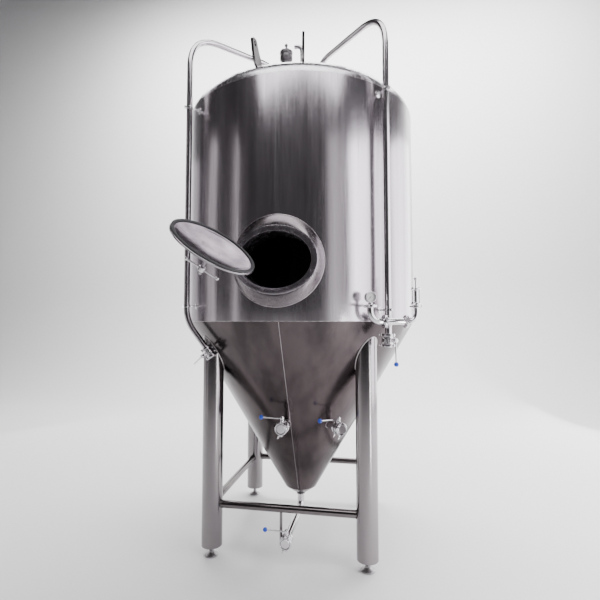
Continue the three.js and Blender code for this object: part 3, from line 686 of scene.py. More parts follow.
def clamp(bm, place):
    """A two-part pipe clamp about the place's Z, with its hinge on one side and wing nut on the other."""
    turned(bm, [(0.0318, -0.0065), (0.0365, -0.0085), (0.0405, -0.0065), (0.0405, 0.0065), (0.0365, 0.0085),
                (0.0318, 0.0065)], place, 72, 0.0012)
    for side in (-1, 1):
        turn = place @ Matrix.Translation((-0.044, 0.0055 * side, 0))
        slab = [(-0.0055, -0.0035), (0.0055, -0.0035), (0.0055, 0.0035), (-0.0055, 0.0035)]
        rings = []
        for z, grow in ((-0.0062, 0.75), (-0.0052, 1), (0.0052, 1), (0.0062, 0.75)):
            rings.append([turn @ Vector((x * grow, y * grow, z)) for x, y in slab])
        loft(bm, rings, closed=False)
    bolt = place @ Matrix.Translation((-0.0445, -0.014, 0)) @ Matrix.Rotation(-math.pi / 2, 4, "X")
    turned(bm, [(0, 0), (0.003, 0), (0.003, 0.036), (0, 0.036)], bolt, 16, 0.0006)
    turned(bm, [(0, 0.024), (0.0062, 0.024), (0.005, 0.034), (0, 0.034)], bolt, 20, 0.0008)
    for side in (-1, 1):
        rings = []
        for reach, width, thick, rise in ((0.004, 0.004, 0.0022, 0.028), (0.010, 0.0055, 0.0018, 0.031),
                                          (0.016, 0.0058, 0.0016, 0.034), (0.020, 0.0030, 0.0012, 0.036)):
            rings.append([bolt @ Vector((side * reach, thick * math.cos(turn), rise + width * math.sin(turn)))
                          for turn in turns(12)])
        loft(bm, rings, closed=False)
    pin = place @ Matrix.Translation((0.0425, 0, -0.008))
    turned(bm, [(0, 0), (0.0042, 0), (0.0042, 0.016), (0, 0.016)], pin, 20, 0.001)


def frame_at(spot, flow, stem):
    """The valve's own axes: X along the stem, Z along the flow."""
    side = flow.cross(stem)
    turn = Matrix((stem, side, flow)).transposed().to_4x4()
    return Matrix.Translation(spot) @ turn


def valve(name, spot, flow, stem, lever_turn=0, knob=True):
    """A valve between its two clamps, with the pipe along its flow and the lever out on its stem."""
    place = frame_at(spot, flow, stem)
    bm = bmesh.new()
    turned(bm, [(0.024, -HALF), (0.032, -HALF), (0.032, -HALF + 0.003), (0.028, -HALF + 0.009),
                (0.028, -0.014), (0.038, -0.011), (0.038, -0.0008), (0.0365, 0), (0.038, 0.0008),
                (0.038, 0.011), (0.028, 0.014), (0.028, HALF - 0.009), (0.032, HALF - 0.003),
                (0.032, HALF), (0.024, HALF)], place, 64, 0.0009)
    neck = place @ Matrix.Translation((0.026, 0, 0)) @ Matrix.Rotation(math.pi / 2, 4, "Y")
    turned(bm, [(0.0056, 0.008), (0.0056, 0.0225), (0.0105, 0.0225), (0.0115, 0.019), (0.0115, 0.004),
                (0.009, 0.001)], neck, 40, 0.0008)
    for side in (-1, 1):
        for end in (-1, 1):
            bolt = place @ Matrix.Translation((0.024 * end, 0.0295 * side, 0))
            turned(bm, [(0, -0.0165), (0.0048, -0.0165), (0.0048, 0.0165), (0, 0.0165)], bolt, 6, 0)
    finished(name + "_valve_housing", bm, polished, "tank", name + "_valve_body", slot="polished", crease=32)
    bm = bmesh.new()
    clamp(bm, place @ Matrix.Translation((0, 0, -HALF - 0.0002)))
    clamp(bm, place @ Matrix.Translation((0, 0, HALF + 0.0002)))
    turned(bm, [(0, HALF + 0.0006), (0.0316, HALF + 0.0006), (0.0316, HALF + 0.003),
                (0.027, HALF + 0.0095), (0, HALF + 0.0075)], place, 56, 0.001)
    finished(name + "_valve_clamps", bm, polished, "tank", slot="polished", crease=32)
    turn = place @ Matrix.Rotation(lever_turn, 4, "X")
    bm = bmesh.new()
    turned(bm, [(0, -0.002), (0.0215, -0.002), (0.0225, 0), (0.0215, 0.002), (0, 0.002)], turn, 48, 0.0004)
    rod(bm, turn @ Vector((0.015, 0, 0)), turn @ Vector((STEM + 0.006, 0, 0)), 0.005)
    hub = turn @ Matrix.Translation((STEM - 0.009, 0, 0)) @ Matrix.Rotation(math.pi / 2, 4, "Y")
    turned(bm, [(0, 0), (0.0125, 0), (0.013, 0.004), (0.0125, 0.0205), (0, 0.021)], hub, 48, 0.0018)
    nut(bm, turn @ Vector((STEM + 0.0115, 0, 0)), 0.013, 0, 0.0042, turn.to_3x3() @ Vector((1, 0, 0)))
    tip = Vector((STEM + 0.004, LEVER, 0))
    root, crook = Vector((STEM + 0.002, 0.005, 0)), Vector((STEM + 0.002, 0.03, 0))
    tube(bm, bent([turn @ root, turn @ crook, turn @ tip], 0.008), 0.0045, 20)
    finished(name + "_valve_handle", bm, polished, name + "_lever", name + "_valve_lever", slot="polished",
             crease=32)
    if knob:
        centre = LEVER + 0.0153
        bm = bmesh.new()
        grip = turn @ Matrix.Translation((tip.x, 0, 0)) @ Matrix.Rotation(-math.pi / 2, 4, "X")
        turned(bm, ball_line(0.0149, centre, 24) + [(0, centre)], grip, 40, 0)
        finished(name + "_valve_ball", bm, blue, name + "_lever", name + "_valve_knob", slot="knob",
                 crease=60)


UP = Vector((0, 0, 1))
for name, (degrees, height, reach) in STUBS.items():
    spot = around(reach + HALF + 0.0003, degrees, height)
    valve(name, spot, around(1, degrees, 0) - Vector((0, TANK_Y, 0)), UP)
OUTLET_REACH = 0.52
valve("outlet", Vector((0, TANK_Y - OUTLET_REACH - HALF - 0.0003, OUTLET_LOW)), Vector((0, -1, 0)), UP)

# Outlet. A 50.8 mm pipe drops from the cone's tip, bends forward under the front rail and ends in
# a ferrule. Another ferrule joins it to the cone.
outlet_end = Vector((0, TANK_Y - OUTLET_REACH, OUTLET_LOW))
bm = bmesh.new()
tube(bm, bent([Vector((0, TANK_Y, CONE_END - 0.0625)), Vector((0, TANK_Y, OUTLET_LOW)), outlet_end], 0.06),
     0.0254, 48)
outlet_flow = Matrix.Translation(outlet_end) @ Matrix.Rotation(math.pi / 2, 4, "X")
turned(bm, [(0, -0.004), (0.032, -0.004), (0.032, 0), (0, 0)], outlet_flow, 56, 0.0008)
tip = Matrix.Translation((0, TANK_Y, CONE_END - 0.066))
turned(bm, [(0, -0.006), (0.034, -0.006), (0.034, 0), (0.0315, 0.002), (0, 0.002)], tip, 56, 0.0008)
finished("outlet_bend", bm, polished, "tank", "outlet_pipe", slot="polished")

# Risers. Two 40 mm pipes stand 70 mm off the barrel at 45 degrees, arch in over the head and are
# welded into it: the left one feeds the wash, the right one draws off gas. Clips hold each twice.
PIPE = 0.020
PIPE_CIRCLE = 0.94
ARM_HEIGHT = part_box("gas_pipe")[1].z - PIPE
ARM_IN = 0.23
GAS_END = 1.5
wash_end = around(0.838, -39, 1.405)
pipe_steel = brushed("pipe_steel", (0.70, 0.67, 0.69), (0.54, 0.51, 0.53), 0.16, (160, 160, 12), 0.0, 0.4)


def head_height(circle):
    return BARREL_TOP + HEAD_RISE * math.sqrt(1 - (circle / RADIUS) ** 2)


def ferrule(bm, spot, along, radius=0.032):
    """The flange on a pipe's end, which a clamp grips."""
    turn = along.to_track_quat("Z", "Y").to_matrix().to_4x4()
    turned(bm, [(0, -0.0085), (radius - 0.009, -0.0085), (radius, -0.003), (radius, 0), (0, 0)],
           Matrix.Translation(spot) @ turn, 56, 0.0007)


wash_corner = around(PIPE_CIRCLE, -45, 1.59)
for name, degrees, low, bends in (("wash", -45, [wash_end, wash_corner], [0.09, 0.23, 0.14]),
                                  ("gas", 45, [around(PIPE_CIRCLE, 45, GAS_END)], [0.23, 0.14])):
    line = low + [around(PIPE_CIRCLE, degrees, ARM_HEIGHT), around(ARM_IN, degrees, ARM_HEIGHT),
                  around(ARM_IN, degrees, head_height(ARM_IN) - 0.004)]
    bm = bmesh.new()
    tube(bm, bent(line, bends, 24), PIPE, 48)
    ferrule(bm, line[0], (line[0] - line[1]).normalized())
    finished(name + "_riser", bm, pipe_steel, "tank", name + "_pipe", slot="polished")
    bm = bmesh.new()
    ring = []
    bead = PIPE + 0.0005
    for turn in turns(72):
        spot = around(ARM_IN, degrees, 0) + Vector((bead * math.cos(turn), bead * math.sin(turn), 0))
        spot.z = head_height(math.hypot(spot.x, spot.y - TANK_Y)) + 0.001
        ring.append(spot)
    weld(bm, ring, 0.003)
    finished(name + "_riser_weld", bm, weld_steel, "tank", slot="polished")
    for level in ("upper", "lower"):
        node = name + "_bracket_" + level
        low_corner, high_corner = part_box(node)
        height = (low_corner.z + high_corner.z) / 2
        bm = bmesh.new()
        out = around(PIPE_CIRCLE, degrees, height)
        place = Matrix.Translation(out) @ Matrix.Rotation(math.radians(degrees), 4, "Z")
        turned(bm, [(PIPE + 0.0004, -0.009), (PIPE + 0.0035, -0.009), (PIPE + 0.0035, 0.009),
                    (PIPE + 0.0004, 0.009)], place, 48, 0.0008)
        for side in (-1, 1):
            lug = place @ Matrix.Translation((0.0035 * side, -PIPE - 0.0085, 0))
            rings = []
            for z, grow in ((-0.009, 0.8), (-0.008, 1), (0.008, 1), (0.009, 0.8)):
                rings.append([lug @ Vector((x * grow, y * grow, z)) for x, y in
                              ((-0.0015, -0.0075), (0.0015, -0.0075), (0.0015, 0.0075), (-0.0015, 0.0075))])
            loft(bm, rings, closed=False)
        screw = place @ Matrix.Translation((-0.009, -PIPE - 0.0095, 0)) @ Matrix.Rotation(math.pi / 2, 4, "Y")
        turned(bm, [(0, 0), (0.005, 0), (0.005, 0.004), (0.0025, 0.0045), (0.0025, 0.0175), (0, 0.0175)],
               screw, 24, 0.0005)
        clip_back = around(PIPE_CIRCLE - PIPE - 0.002, degrees, height)
        rod(bm, around(RADIUS + 0.002, degrees, height), clip_back, 0.006)
        pad = Matrix.Translation(around(RADIUS - 0.001, degrees, height)) @ Matrix.Rotation(
            math.radians(degrees), 4, "Z") @ Matrix.Rotation(math.pi / 2, 4, "X")
        turned(bm, [(0, 0), (0.022, 0), (0.022, 0.004), (0.009, 0.0055), (0.006, 0.010), (0, 0.010)],
               pad, 48, 0.0012)
        finished(name + "_clip_" + level, bm, polished, "tank", node, slot="polished", crease=32)

# Riser valves. The gas valve hangs straight below its pipe and stands open; the wash valve follows
# the slope of the cone by the left front leg, its plain lever folded back.
gas_spot = around(PIPE_CIRCLE, 45, GAS_END - HALF - 0.0003)
gas_stem = around(1, 45, 0) - Vector((0, TANK_Y, 0))
valve("gas", gas_spot, Vector((0, 0, -1)), gas_stem, math.pi / 2)
wash_flow = (wash_end - wash_corner).normalized()
wash_stem = around(1, -39, 0) - Vector((0, TANK_Y, 0))
wash_stem = (wash_stem - wash_flow * wash_stem.dot(wash_flow)).normalized()
valve("wash", wash_end + wash_flow * (HALF + 0.0003), wash_flow, wash_stem, knob=False)

# Manifold. A cross is welded to the gas riser and turned to face forward. On its left a clamped
# bend turns up to the pressure gauge, and on its right another turns up to the spunding valve.
MANIFOLD_Z = 1.583
MANIFOLD_TURN = math.radians(22)
MANIFOLD = (Matrix.Translation(around(PIPE_CIRCLE + PIPE * 2 + 0.018, 45, MANIFOLD_Z))
            @ Matrix.Rotation(MANIFOLD_TURN, 4, "Z"))
CROSS = 0.070
GAUGE_SIDE, GAUGE_BEND_TOP, GAUGE_UP = 0.160, 0.092, 0.146
SPUNDING_SIDE, SPUNDING_UP = 0.138, 0.104


def across(x, z):
    """A spot across and above the cross, in its own frame."""
    return MANIFOLD @ Vector((x, 0, z))


def shifted(x, z, turn, axis="Z"):
    """The cross's frame, moved across and up and then turned."""
    return MANIFOLD @ Matrix.Translation((x, 0, z)) @ Matrix.Rotation(turn, 4, axis)


bm = bmesh.new()
toward_pipe = MANIFOLD @ Matrix.Rotation(math.pi / 4 - MANIFOLD_TURN, 4, "Z")
saddle = toward_pipe @ Matrix.Translation((0, PIPE * 2 + 0.018, 0))
turned(bm, [(PIPE + 0.0004, -0.024), (PIPE + 0.0035, -0.024), (PIPE + 0.006, -0.019), (PIPE + 0.006, 0.019),
            (PIPE + 0.0035, 0.024), (PIPE + 0.0004, 0.024)], saddle, 56, 0.001)
rod(bm, toward_pipe @ Vector((0, PIPE + 0.014, 0)), toward_pipe @ Vector((0, -0.004, 0)), 0.016, 40)
turned(bm, [(0, -CROSS), (0.0315, -CROSS), (0.0315, -CROSS + 0.003), (0.0195, -CROSS + 0.0085),
            (0.0195, CROSS - 0.0085), (0.0315, CROSS - 0.003), (0.0315, CROSS), (0, CROSS)],
       MANIFOLD @ Matrix.Rotation(math.pi / 2, 4, "Y"), 56, 0.0008)
finished("manifold_tee", bm, polished, "tank", "manifold_cross", slot="polished")
bm = bmesh.new()
for side in (-1, 1):
    joint = shifted(side * (CROSS + 0.0002), 0, math.pi / 2, "Y")
    clamp(bm, joint @ Matrix.Rotation(math.pi / 2, 4, "Z"))
clamp(bm, shifted(-GAUGE_SIDE, GAUGE_BEND_TOP + 0.0001, 0.8))
clamp(bm, shifted(SPUNDING_SIDE, SPUNDING_UP - 0.012, -0.5) @ Matrix.Scale(0.76, 4))
finished("manifold_clamps", bm, polished, "tank", slot="polished", crease=32)

bm = bmesh.new()
start = across(-CROSS - 0.0003, 0)
tube(bm, bent([start, across(-GAUGE_SIDE, 0), across(-GAUGE_SIDE, GAUGE_BEND_TOP)], 0.07, 20), 0.019, 40)
ferrule(bm, start, MANIFOLD.to_3x3() @ Vector((1, 0, 0)))
ferrule(bm, across(-GAUGE_SIDE, GAUGE_BEND_TOP - 0.0003), UP)
finished("gauge_elbow", bm, polished, "tank", "gauge_bend", slot="polished")
bm = bmesh.new()
start = across(CROSS + 0.0003, 0)
tube(bm, bent([start, across(SPUNDING_SIDE, 0), across(SPUNDING_SIDE, SPUNDING_UP)], 0.06, 20), 0.015, 40)
ferrule(bm, start, MANIFOLD.to_3x3() @ Vector((-1, 0, 0)))
ferrule(bm, across(SPUNDING_SIDE, SPUNDING_UP - 0.012), UP, 0.0255)
finished("spunding_elbow", bm, polished, "tank", "spunding_bend", slot="polished")

# Pressure gauge. A polished case 68 mm across on a bottom stem, with a white enamelled dial,
# black scale marks, a black pointer that turns, and a flat glass under the bezel.
GAUGE = 0.034
GAUGE_FRAME = shifted(-GAUGE_SIDE, GAUGE_UP, math.pi / 2, "X")
bm = bmesh.new()
turned(bm, [(0, -0.016), (GAUGE - 0.003, -0.016), (GAUGE - 0.001, -0.013), (GAUGE - 0.001, 0.009),
            (GAUGE, 0.010), (GAUGE, 0.014), (GAUGE - 0.0015, 0.016), (GAUGE - 0.0042, 0.016),
            (GAUGE - 0.0042, 0.0018), (0, 0.0018)], GAUGE_FRAME, 96, 0.0007)
foot = GAUGE_UP - GAUGE_BEND_TOP - 0.0003
stem = MANIFOLD @ Matrix.Translation((-GAUGE_SIDE, 0, GAUGE_BEND_TOP))
turned(bm, [(0, 0.0003), (0.0315, 0.0003), (0.0315, 0.003), (0.022, 0.0085), (0.0105, 0.0105), (0.009, 0.014),
            (0.009, foot - GAUGE + 0.003), (0, foot - GAUGE + 0.003)], stem, 56, 0.0008)
nut(bm, across(-GAUGE_SIDE, GAUGE_BEND_TOP + 0.011), 0.022, 0, 0.008)
finished("gauge_housing", bm, polished, "tank", "gauge_case", slot="polished", crease=32)
dial_white = grainy("dial_enamel", (0.86, 0.86, 0.84), (0.80, 0.80, 0.78), 0.45, 600, 0.00003)
black = grainy("black_enamel", (0.012, 0.012, 0.014), (0.03, 0.03, 0.03), 0.4, 400, 0.00005)
bm = bmesh.new()
turned(bm, [(0, 0.0019), (GAUGE - 0.0046, 0.0019), (GAUGE - 0.0046, 0.0024), (0, 0.0024)],
       GAUGE_FRAME, 96, 0.0002)
finished("gauge_dial", bm, dial_white, "tank", slot="pointer")
bm = bmesh.new()
for i in range(51):
    turn = GAUGE_FRAME @ Matrix.Rotation(math.radians(135 - 5.4 * i), 4, "Z")
    long_mark = i % 5 == 0
    inner, half = (0.0205, 0.00055) if long_mark else (0.0228, 0.00025)
    mark = ((-half, inner), (half, inner), (half, 0.0262), (-half, 0.0262))
    loft(bm, [[turn @ Vector((x, y, z)) for x, y in mark] for z in (0.0025, 0.0029)], closed=False)
finished("gauge_marks", bm, black, "tank", slot="pointer")
bm = bmesh.new()
point = GAUGE_FRAME @ Matrix.Rotation(math.radians(135), 4, "Z")
turned(bm, [(0, 0.0046), (0.0035, 0.0046), (0.0035, 0.0078), (0, 0.0080)], point, 32, 0.0004)
blade = [(-0.0014, -0.008), (0.0014, -0.008), (0.0011, 0.004),
         (0.0004, 0.0238), (-0.0004, 0.0238), (-0.0011, 0.004)]
loft(bm, [[point @ Vector((x, y, z)) for x, y in blade] for z in (0.005, 0.0062)], closed=False)
finished("gauge_pointer", bm, black, "pointer", "gauge_needle", slot="pointer")
bm = bmesh.new()
turned(bm, [(0, 0.010), (GAUGE - 0.0045, 0.010), (GAUGE - 0.0045, 0.0124), (0, 0.0124)],
       GAUGE_FRAME, 96, 0.0003)
clear = grainy("gauge_glass", (0.96, 0.98, 0.98), (0.93, 0.96, 0.96), 0.04, 90, 0.00002)
clear.node_tree.nodes["Principled BSDF"].inputs["Alpha"].default_value = 0.12
finished("gauge_window", bm, clear, "tank", "gauge_glass", slot="window")

# Spunding valve. Two plates and two posts with nuts cage the spring's tube; the spring rod
# stands through the top plate and ends in a ball knob.
SPUNDING = MANIFOLD @ Matrix.Translation((SPUNDING_SIDE, 0, SPUNDING_UP))


def slab(bm, place, wide, deep, low, high):
    """A flat plate with softened edges, centred across the place's Z."""
    soft = 0.0015
    rings = []
    for z, inset in ((low, soft), (low + soft * 0.3, soft * 0.3), (low + soft, 0), (high - soft, 0),
                     (high - soft * 0.3, soft * 0.3), (high, soft)):
        x, y = wide - inset, deep - inset
        corner = min(x, y) * 0.3
        ring = []
        for sx, sy, start in ((1, 1, 0), (-1, 1, 90), (-1, -1, 180), (1, -1, 270)):
            for k in range(5):
                turn = math.radians(start + 22.5 * k)
                ring.append(place @ Vector((sx * (x - corner) + corner * math.cos(turn),
                                            sy * (y - corner) + corner * math.sin(turn), z)))
        rings.append(ring)
    loft(bm, rings, closed=False)


bm = bmesh.new()
slab(bm, SPUNDING, 0.030, 0.016, 0.0003, 0.010)
slab(bm, SPUNDING, 0.030, 0.014, 0.092, 0.100)
turned(bm, [(0.011, 0.009), (0.015, 0.009), (0.015, 0.012), (0.013, 0.014), (0.013, 0.086), (0.015, 0.089),
            (0.015, 0.093), (0.011, 0.093)], SPUNDING, 48, 0.0006)
for side in (-1, 1):
    post = SPUNDING @ Matrix.Translation((0.023 * side, 0, 0))
    turned(bm, [(0, 0.008), (0.004, 0.008), (0.004, 0.096), (0, 0.096)], post, 24, 0)
    nut(bm, post.translation, 0.010, 0.100, 0.106)
    nut(bm, post.translation, 0.010, 0.0102, 0.015)
finished("spunding_cage", bm, polished, "tank", "spunding_body", slot="polished", crease=32)
bm = bmesh.new()
turned(bm, [(0, 0.024), (0.009, 0.024), (0.009, 0.034), (0.0049, 0.034), (0.0049, 0.1475)]
       + ball_line(0.012, 0.158, 20, 3), SPUNDING, 40, 0)
finished("spunding_stem", bm, polished, "spunding_stem", "spunding_rod", slot="polished", crease=40)

# Lifting ears. Two 16 mm plates stand on the shoulder, leaning out over the front, each with
# a hole for a shackle, and are welded to the head.
EAR_HOLE = Vector((0.836, 3.352))
EAR_MIDDLE = Vector((0.80, 3.33))
EAR_HOLE_RADIUS = 0.0145
EAR_STEPS = 44


def way_out(outline, turn):
    """Where a line from the ear's hole, at an angle, leaves the outline."""
    reach = Vector((math.cos(turn), math.sin(turn)))
    nearest = math.inf
    for start, end in zip(outline, outline[1:] + outline[:1]):
        start = Vector(start) - EAR_HOLE
        span = Vector(end) - EAR_HOLE - start
        cross = reach.cross(span)
        if abs(cross) > 1e-9:
            far = start.cross(span) / cross
            share = start.cross(reach) / cross
            if far > 0 and -1e-6 <= share <= 1 + 1e-6:
                nearest = min(nearest, far)
    return EAR_HOLE + reach * nearest


foot_line = [(circle, head_height(circle) - 0.004) for circle in (0.700, 0.752, 0.806)]
outline = foot_line + [(0.842, 3.262), (0.864, 3.345), (0.868, 3.372), (0.860, 3.382),
                       (0.824, 3.3905), (0.812, 3.386), (0.786, 3.343), (0.752, 3.297)]
hole = []
for turn in turns(EAR_STEPS):
    hole.append(EAR_HOLE + Vector((math.cos(turn), math.sin(turn))) * EAR_HOLE_RADIUS)
edge = [way_out(outline, turn) for turn in turns(EAR_STEPS)]
bevel = [spot.lerp(EAR_MIDDLE, 0.012) for spot in edge]
for name, degrees in (("left", -11), ("right", 11)):
    turn = Matrix.Translation((0, TANK_Y, 0)) @ Matrix.Rotation(math.radians(degrees), 4, "Z")
    bm = bmesh.new()
    loft(bm, [[turn @ Vector((depth, -spot.x, spot.y)) for spot in line] for line, depth in (
        (hole, -0.0078), (bevel, -0.0080), (edge, -0.0070), (edge, 0.0070), (bevel, 0.0080), (hole, 0.0078))])
    # The ears use the legs' steel, with its painted shade.
    finished("ear_" + name, bm, leg_steel_painted_shade, "tank", "lifting_ear_" + name, slot="frame_tube", crease=35)

# Relief valve. A cast pressure and vacuum valve on a short neck, with a cap that lifts off its
# seat, a guide stem and a pull ball. Beside it a 28 mm vent pipe bends over.
relief_low, relief_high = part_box("relief_body")
cap_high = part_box("relief_cap")[1]
middle = (relief_low + relief_high) / 2
seat = relief_high.z
dark_cast = grainy("dark_cast_steel", (0.20, 0.19, 0.20), (0.12, 0.115, 0.12), 0.38, 140, 0.0008, 1.0)
relief_base = head_height(math.hypot(middle.x, middle.y - TANK_Y)) - 0.004
RELIEF = Matrix.Translation((middle.x, middle.y, 0))
bm = bmesh.new()
turned(bm, [(0.026, relief_base), (0.030, relief_base), (0.030, seat - 0.118), (0.036, seat - 0.116),
            (0.036, seat - 0.104), (0.030, seat - 0.102), (0.030, seat - 0.060), (0.045, seat - 0.048),
            (0.0458, seat - 0.030), (0.042, seat - 0.024), (0.042, seat - 0.012), (0.0458, seat - 0.008),
            (0.0458, seat), (0.026, seat)], RELIEF, 72, 0.0016)
finished("relief_housing", bm, dark_cast, "tank", "relief_body", slot="cast_steel", crease=32)
bm = bmesh.new()
ball = ball_line(0.0118, cap_high.z - 0.0118, 20, 4)
turned(bm, [(0, seat - 0.025), (0.020, seat - 0.025), (0.020, seat + 0.0004), (0.0458, seat + 0.0004),
            (0.0458, seat + 0.009), (0.036, seat + 0.0135), (0.012, seat + 0.0155), (0.007, seat + 0.020),
            (0.007, ball[0][1])] + ball, RELIEF, 64, 0)
for turn in turns(6):
    nut(bm, Vector((middle.x + 0.037 * math.cos(turn), middle.y + 0.037 * math.sin(turn), 0)), 0.009,
        seat + 0.008, seat + 0.0165)
finished("relief_lid", bm, dark_cast, "relief_lid", "relief_cap", slot="cast_steel", crease=32)

VENT_TOP = 3.56
vent_foot = Vector((0.085, TANK_Y - 0.422, head_height(0.430) - 0.004))
vent_corner = Vector((0.085, TANK_Y - 0.440, VENT_TOP))
vent_mouth = Vector((0.030, TANK_Y - 0.440, VENT_TOP))
bm = bmesh.new()
tube(bm, bent([vent_foot, vent_corner, vent_mouth], 0.04, 18), 0.014, 40)
turned(bm, [(0, 0), (0.024, 0), (0.024, 0.006), (0.015, 0.012), (0, 0.012)],
       Matrix.Translation(vent_foot), 48, 0.0015)
finished("vent_pipe", bm, pipe_steel, "tank", "vent_bend", slot="polished")

# Top port. A ferrule in the middle of the head, closed by a polished blank cover.
cover_low, cover_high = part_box("top_port_cover")
top = cover_high.z
bm = bmesh.new()
turned(bm, [(0, cover_low.z), (TOP_PORT - 0.001, cover_low.z), (TOP_PORT - 0.001, top - 0.019),
            (0.082, top - 0.019), (0.082, top - 0.011), (0.076, top - 0.009), (0.076, top - 0.007),
            (0.081, top - 0.005), (0.081, top), (0, top)], AXIS, 96, 0.0012)
finished("top_port_blank", bm, polished, "tank", "top_port_cover", slot="polished", crease=32)

# Manway hinge. A cast block is welded to the neck's left side and carries an upright pin. A bent
# arm swings on the pin and ends in a socket, where the lid's knuckle tips.
swing_joint = next(j for j in frame["joints"] if j["name"] == "arm_swing")
tip_joint = next(j for j in frame["joints"] if j["name"] == "lid_tip")
HINGE = Vector(swing_joint["pos_m"])
KNUCKLE = Vector(tip_joint["pos_m"])
SWING = Matrix.Rotation(math.radians(-78), 4, "Z")
TIP_AXIS = Vector((0.85, 0, -0.527)).normalized()
HINGE_LOW, HINGE_HIGH = -0.060, 0.100
pin = Matrix.Translation(HINGE)
bm = bmesh.new()
turned(bm, [(0, HINGE_LOW), (0.018, HINGE_LOW), (0.018, HINGE_LOW + 0.040), (0, HINGE_LOW + 0.040)],
       pin, 48, 0.0016)
turned(bm, [(0, HINGE_LOW + 0.01), (0.009, HINGE_LOW + 0.01), (0.009, HINGE_HIGH), (0.014, HINGE_HIGH),
            (0.014, HINGE_HIGH + 0.006), (0.011, HINGE_HIGH + 0.008), (0, HINGE_HIGH + 0.008)],
       pin, 40, 0.0008)
slab(bm, pin @ Matrix.Translation((0.0195, 0.0125, 0)), 0.0175, 0.0120, HINGE_LOW + 0.001, HINGE_LOW + 0.039)
finished("hinge_block", bm, cast_steel, "tank", "hinge_bracket", slot="cast_steel", crease=35)

knuckle_local = SWING.inverted() @ (KNUCKLE - HINGE)


def on_arm(spot):
    return HINGE + SWING @ spot


bm = bmesh.new()
turned(bm, [(0.0098, HINGE_LOW + 0.041), (0.0175, HINGE_LOW + 0.041), (0.019, HINGE_LOW + 0.044),
            (0.019, HINGE_HIGH - 0.005), (0.0175, HINGE_HIGH - 0.002), (0.0098, HINGE_HIGH - 0.002)],
       pin, 48, 0.0008)
elbow = knuckle_local - TIP_AXIS * 0.140
arm_line = [Vector((0.014, -0.006, elbow.z)), Vector((0.060, elbow.y, elbow.z)), elbow,
            knuckle_local - TIP_AXIS * 0.025]
tube(bm, bent([on_arm(spot) for spot in arm_line], 0.022, 14), 0.011, 32)
collar = Matrix.Translation(on_arm(knuckle_local - TIP_AXIS * 0.052)) @ (
    (SWING.to_3x3() @ TIP_AXIS).to_track_quat("Z", "Y").to_matrix().to_4x4())
turned(bm, [(0.0108, 0), (0.0145, 0), (0.0145, 0.026), (0.0108, 0.026)], collar, 40, 0.0012)
finished("lid_arm", bm, polished, "arm", "swing_arm", slot="polished", crease=35)

# Knuckle and lid. A cast knuckle holds the lid's threaded pin, so that the lid tips and turns on
# it. The lid is a pressed oval dish with a rolled rim, and a black rubber ring sits on its face.
TIP = SWING @ Matrix.Rotation(math.radians(61.3), 4, TIP_AXIS)
TIPPED = Matrix.Translation(KNUCKLE) @ TIP
LID_OUT = 0.043
SQUEEZE = 0.8
LID_TURN = math.radians(-76)
LID = (TIPPED @ Matrix.Rotation(LID_TURN, 4, "Y") @ Matrix.Translation((0, LID_OUT, 0))
       @ Matrix.Rotation(math.pi / 2, 4, "X"))
ABOUT_PIN = TIPPED @ Matrix.Rotation(math.pi / 2, 4, "X")
bm = bmesh.new()
turned(bm, [(0.0108, -0.013), (0.017, -0.013), (0.020, -0.009), (0.020, 0.009), (0.017, 0.013),
            (0.0108, 0.013)], ABOUT_PIN, 56, 0.0012)
rod(bm, TIPPED @ (TIP_AXIS * -0.017), TIPPED @ (TIP_AXIS * -0.060), 0.006, 28)
finished("lid_knuckle_block", bm, cast_steel, "knuckle", "lid_knuckle", slot="cast_steel", crease=35)

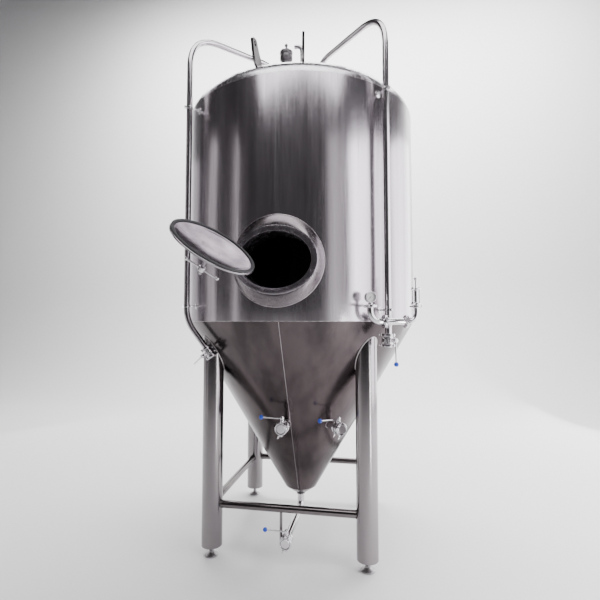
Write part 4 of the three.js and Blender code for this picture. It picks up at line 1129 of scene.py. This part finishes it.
lid_steel = brushed("lid_steel", (0.56, 0.53, 0.56), (0.26, 0.24, 0.26), 0.16, (30, 30, 30), 0.006, 0.3,
                    (7, 7, 7))
bm = bmesh.new()
dish = [(0, 0.0205), (0.060, 0.0198), (0.110, 0.0172), (0.155, 0.0125), (0.190, 0.0068), (0.205, 0.0042),
        (0.215, 0.0008), (0.222, 0), (0.2465, 0), (0.2495, 0.0015), (0.2500, 0.006), (0.2495, 0.0105),
        (0.2465, 0.012), (0.232, 0.012), (0.218, 0.0115), (0.205, 0.0102), (0.190, 0.0128), (0.155, 0.0180),
        (0.110, 0.0222), (0.060, 0.0244), (0, 0.025)]
turned(bm, dish, LID, 192, 0, SQUEEZE)
thread = [(0, 0.022), (0.016, 0.022), (0.013, 0.027)]
for i in range(60):
    thread.append((0.0100 if i % 2 else 0.0092, 0.030 + 0.0024 * i))
thread += [(0.014, 0.1755), (0.014, 0.1835), (0, 0.184)]
turned(bm, thread, LID, 40, 0)
for side in (-1, 1):
    rib = LID @ Matrix.Translation((0.055 * side, 0, 0))
    turned(bm, [(0, 0.018), (0.010, 0.018), (0.0095, 0.029), (0.006, 0.031), (0, 0.031)], rib, 32, 0.001)
finished("lid_dish", bm, lid_steel, "lid", "lid_plate", slot="polished", crease=38)
rubber = grainy("black_rubber", (0.018, 0.018, 0.020), (0.035, 0.035, 0.037), 0.6, 320, 0.0002)
bm = bmesh.new()
turned(bm, [(0.226, -0.0003), (0.226, -0.005), (0.230, -0.008), (0.242, -0.008), (0.246, -0.005),
            (0.246, -0.0003)], LID, 192, 0.0015, SQUEEZE)
finished("lid_seal", bm, rubber, "lid", "lid_gasket", slot="seal")

# Clamp handle. A round steel nut with a T bar and two balls runs on the lid's threaded pin and
# draws the lid up against its seat.
BAR_HEIGHT, BAR_HALF, GRIP_OUT = 0.153, 0.094, 0.100
bm = bmesh.new()
turned(bm, [(0.0108, 0.138), (0.018, 0.138), (0.021, 0.142), (0.021, 0.164), (0.018, 0.168), (0.0108, 0.168)],
       LID, 56, 0.0012)
for side in (-1, 1):
    rod(bm, LID @ Vector((0.0185 * side, 0, BAR_HEIGHT)), LID @ Vector((BAR_HALF * side, 0, BAR_HEIGHT)),
        0.006, 28)
    grip = LID @ Matrix.Translation((GRIP_OUT * side, 0, BAR_HEIGHT)) @ Matrix.Rotation(math.pi / 2, 4, "Y")
    turned(bm, ball_line(0.010, 0, 16), grip, 32, 0)
finished("clamp_tee", bm, polished, "clamp", "clamp_handle", slot="polished", crease=38)
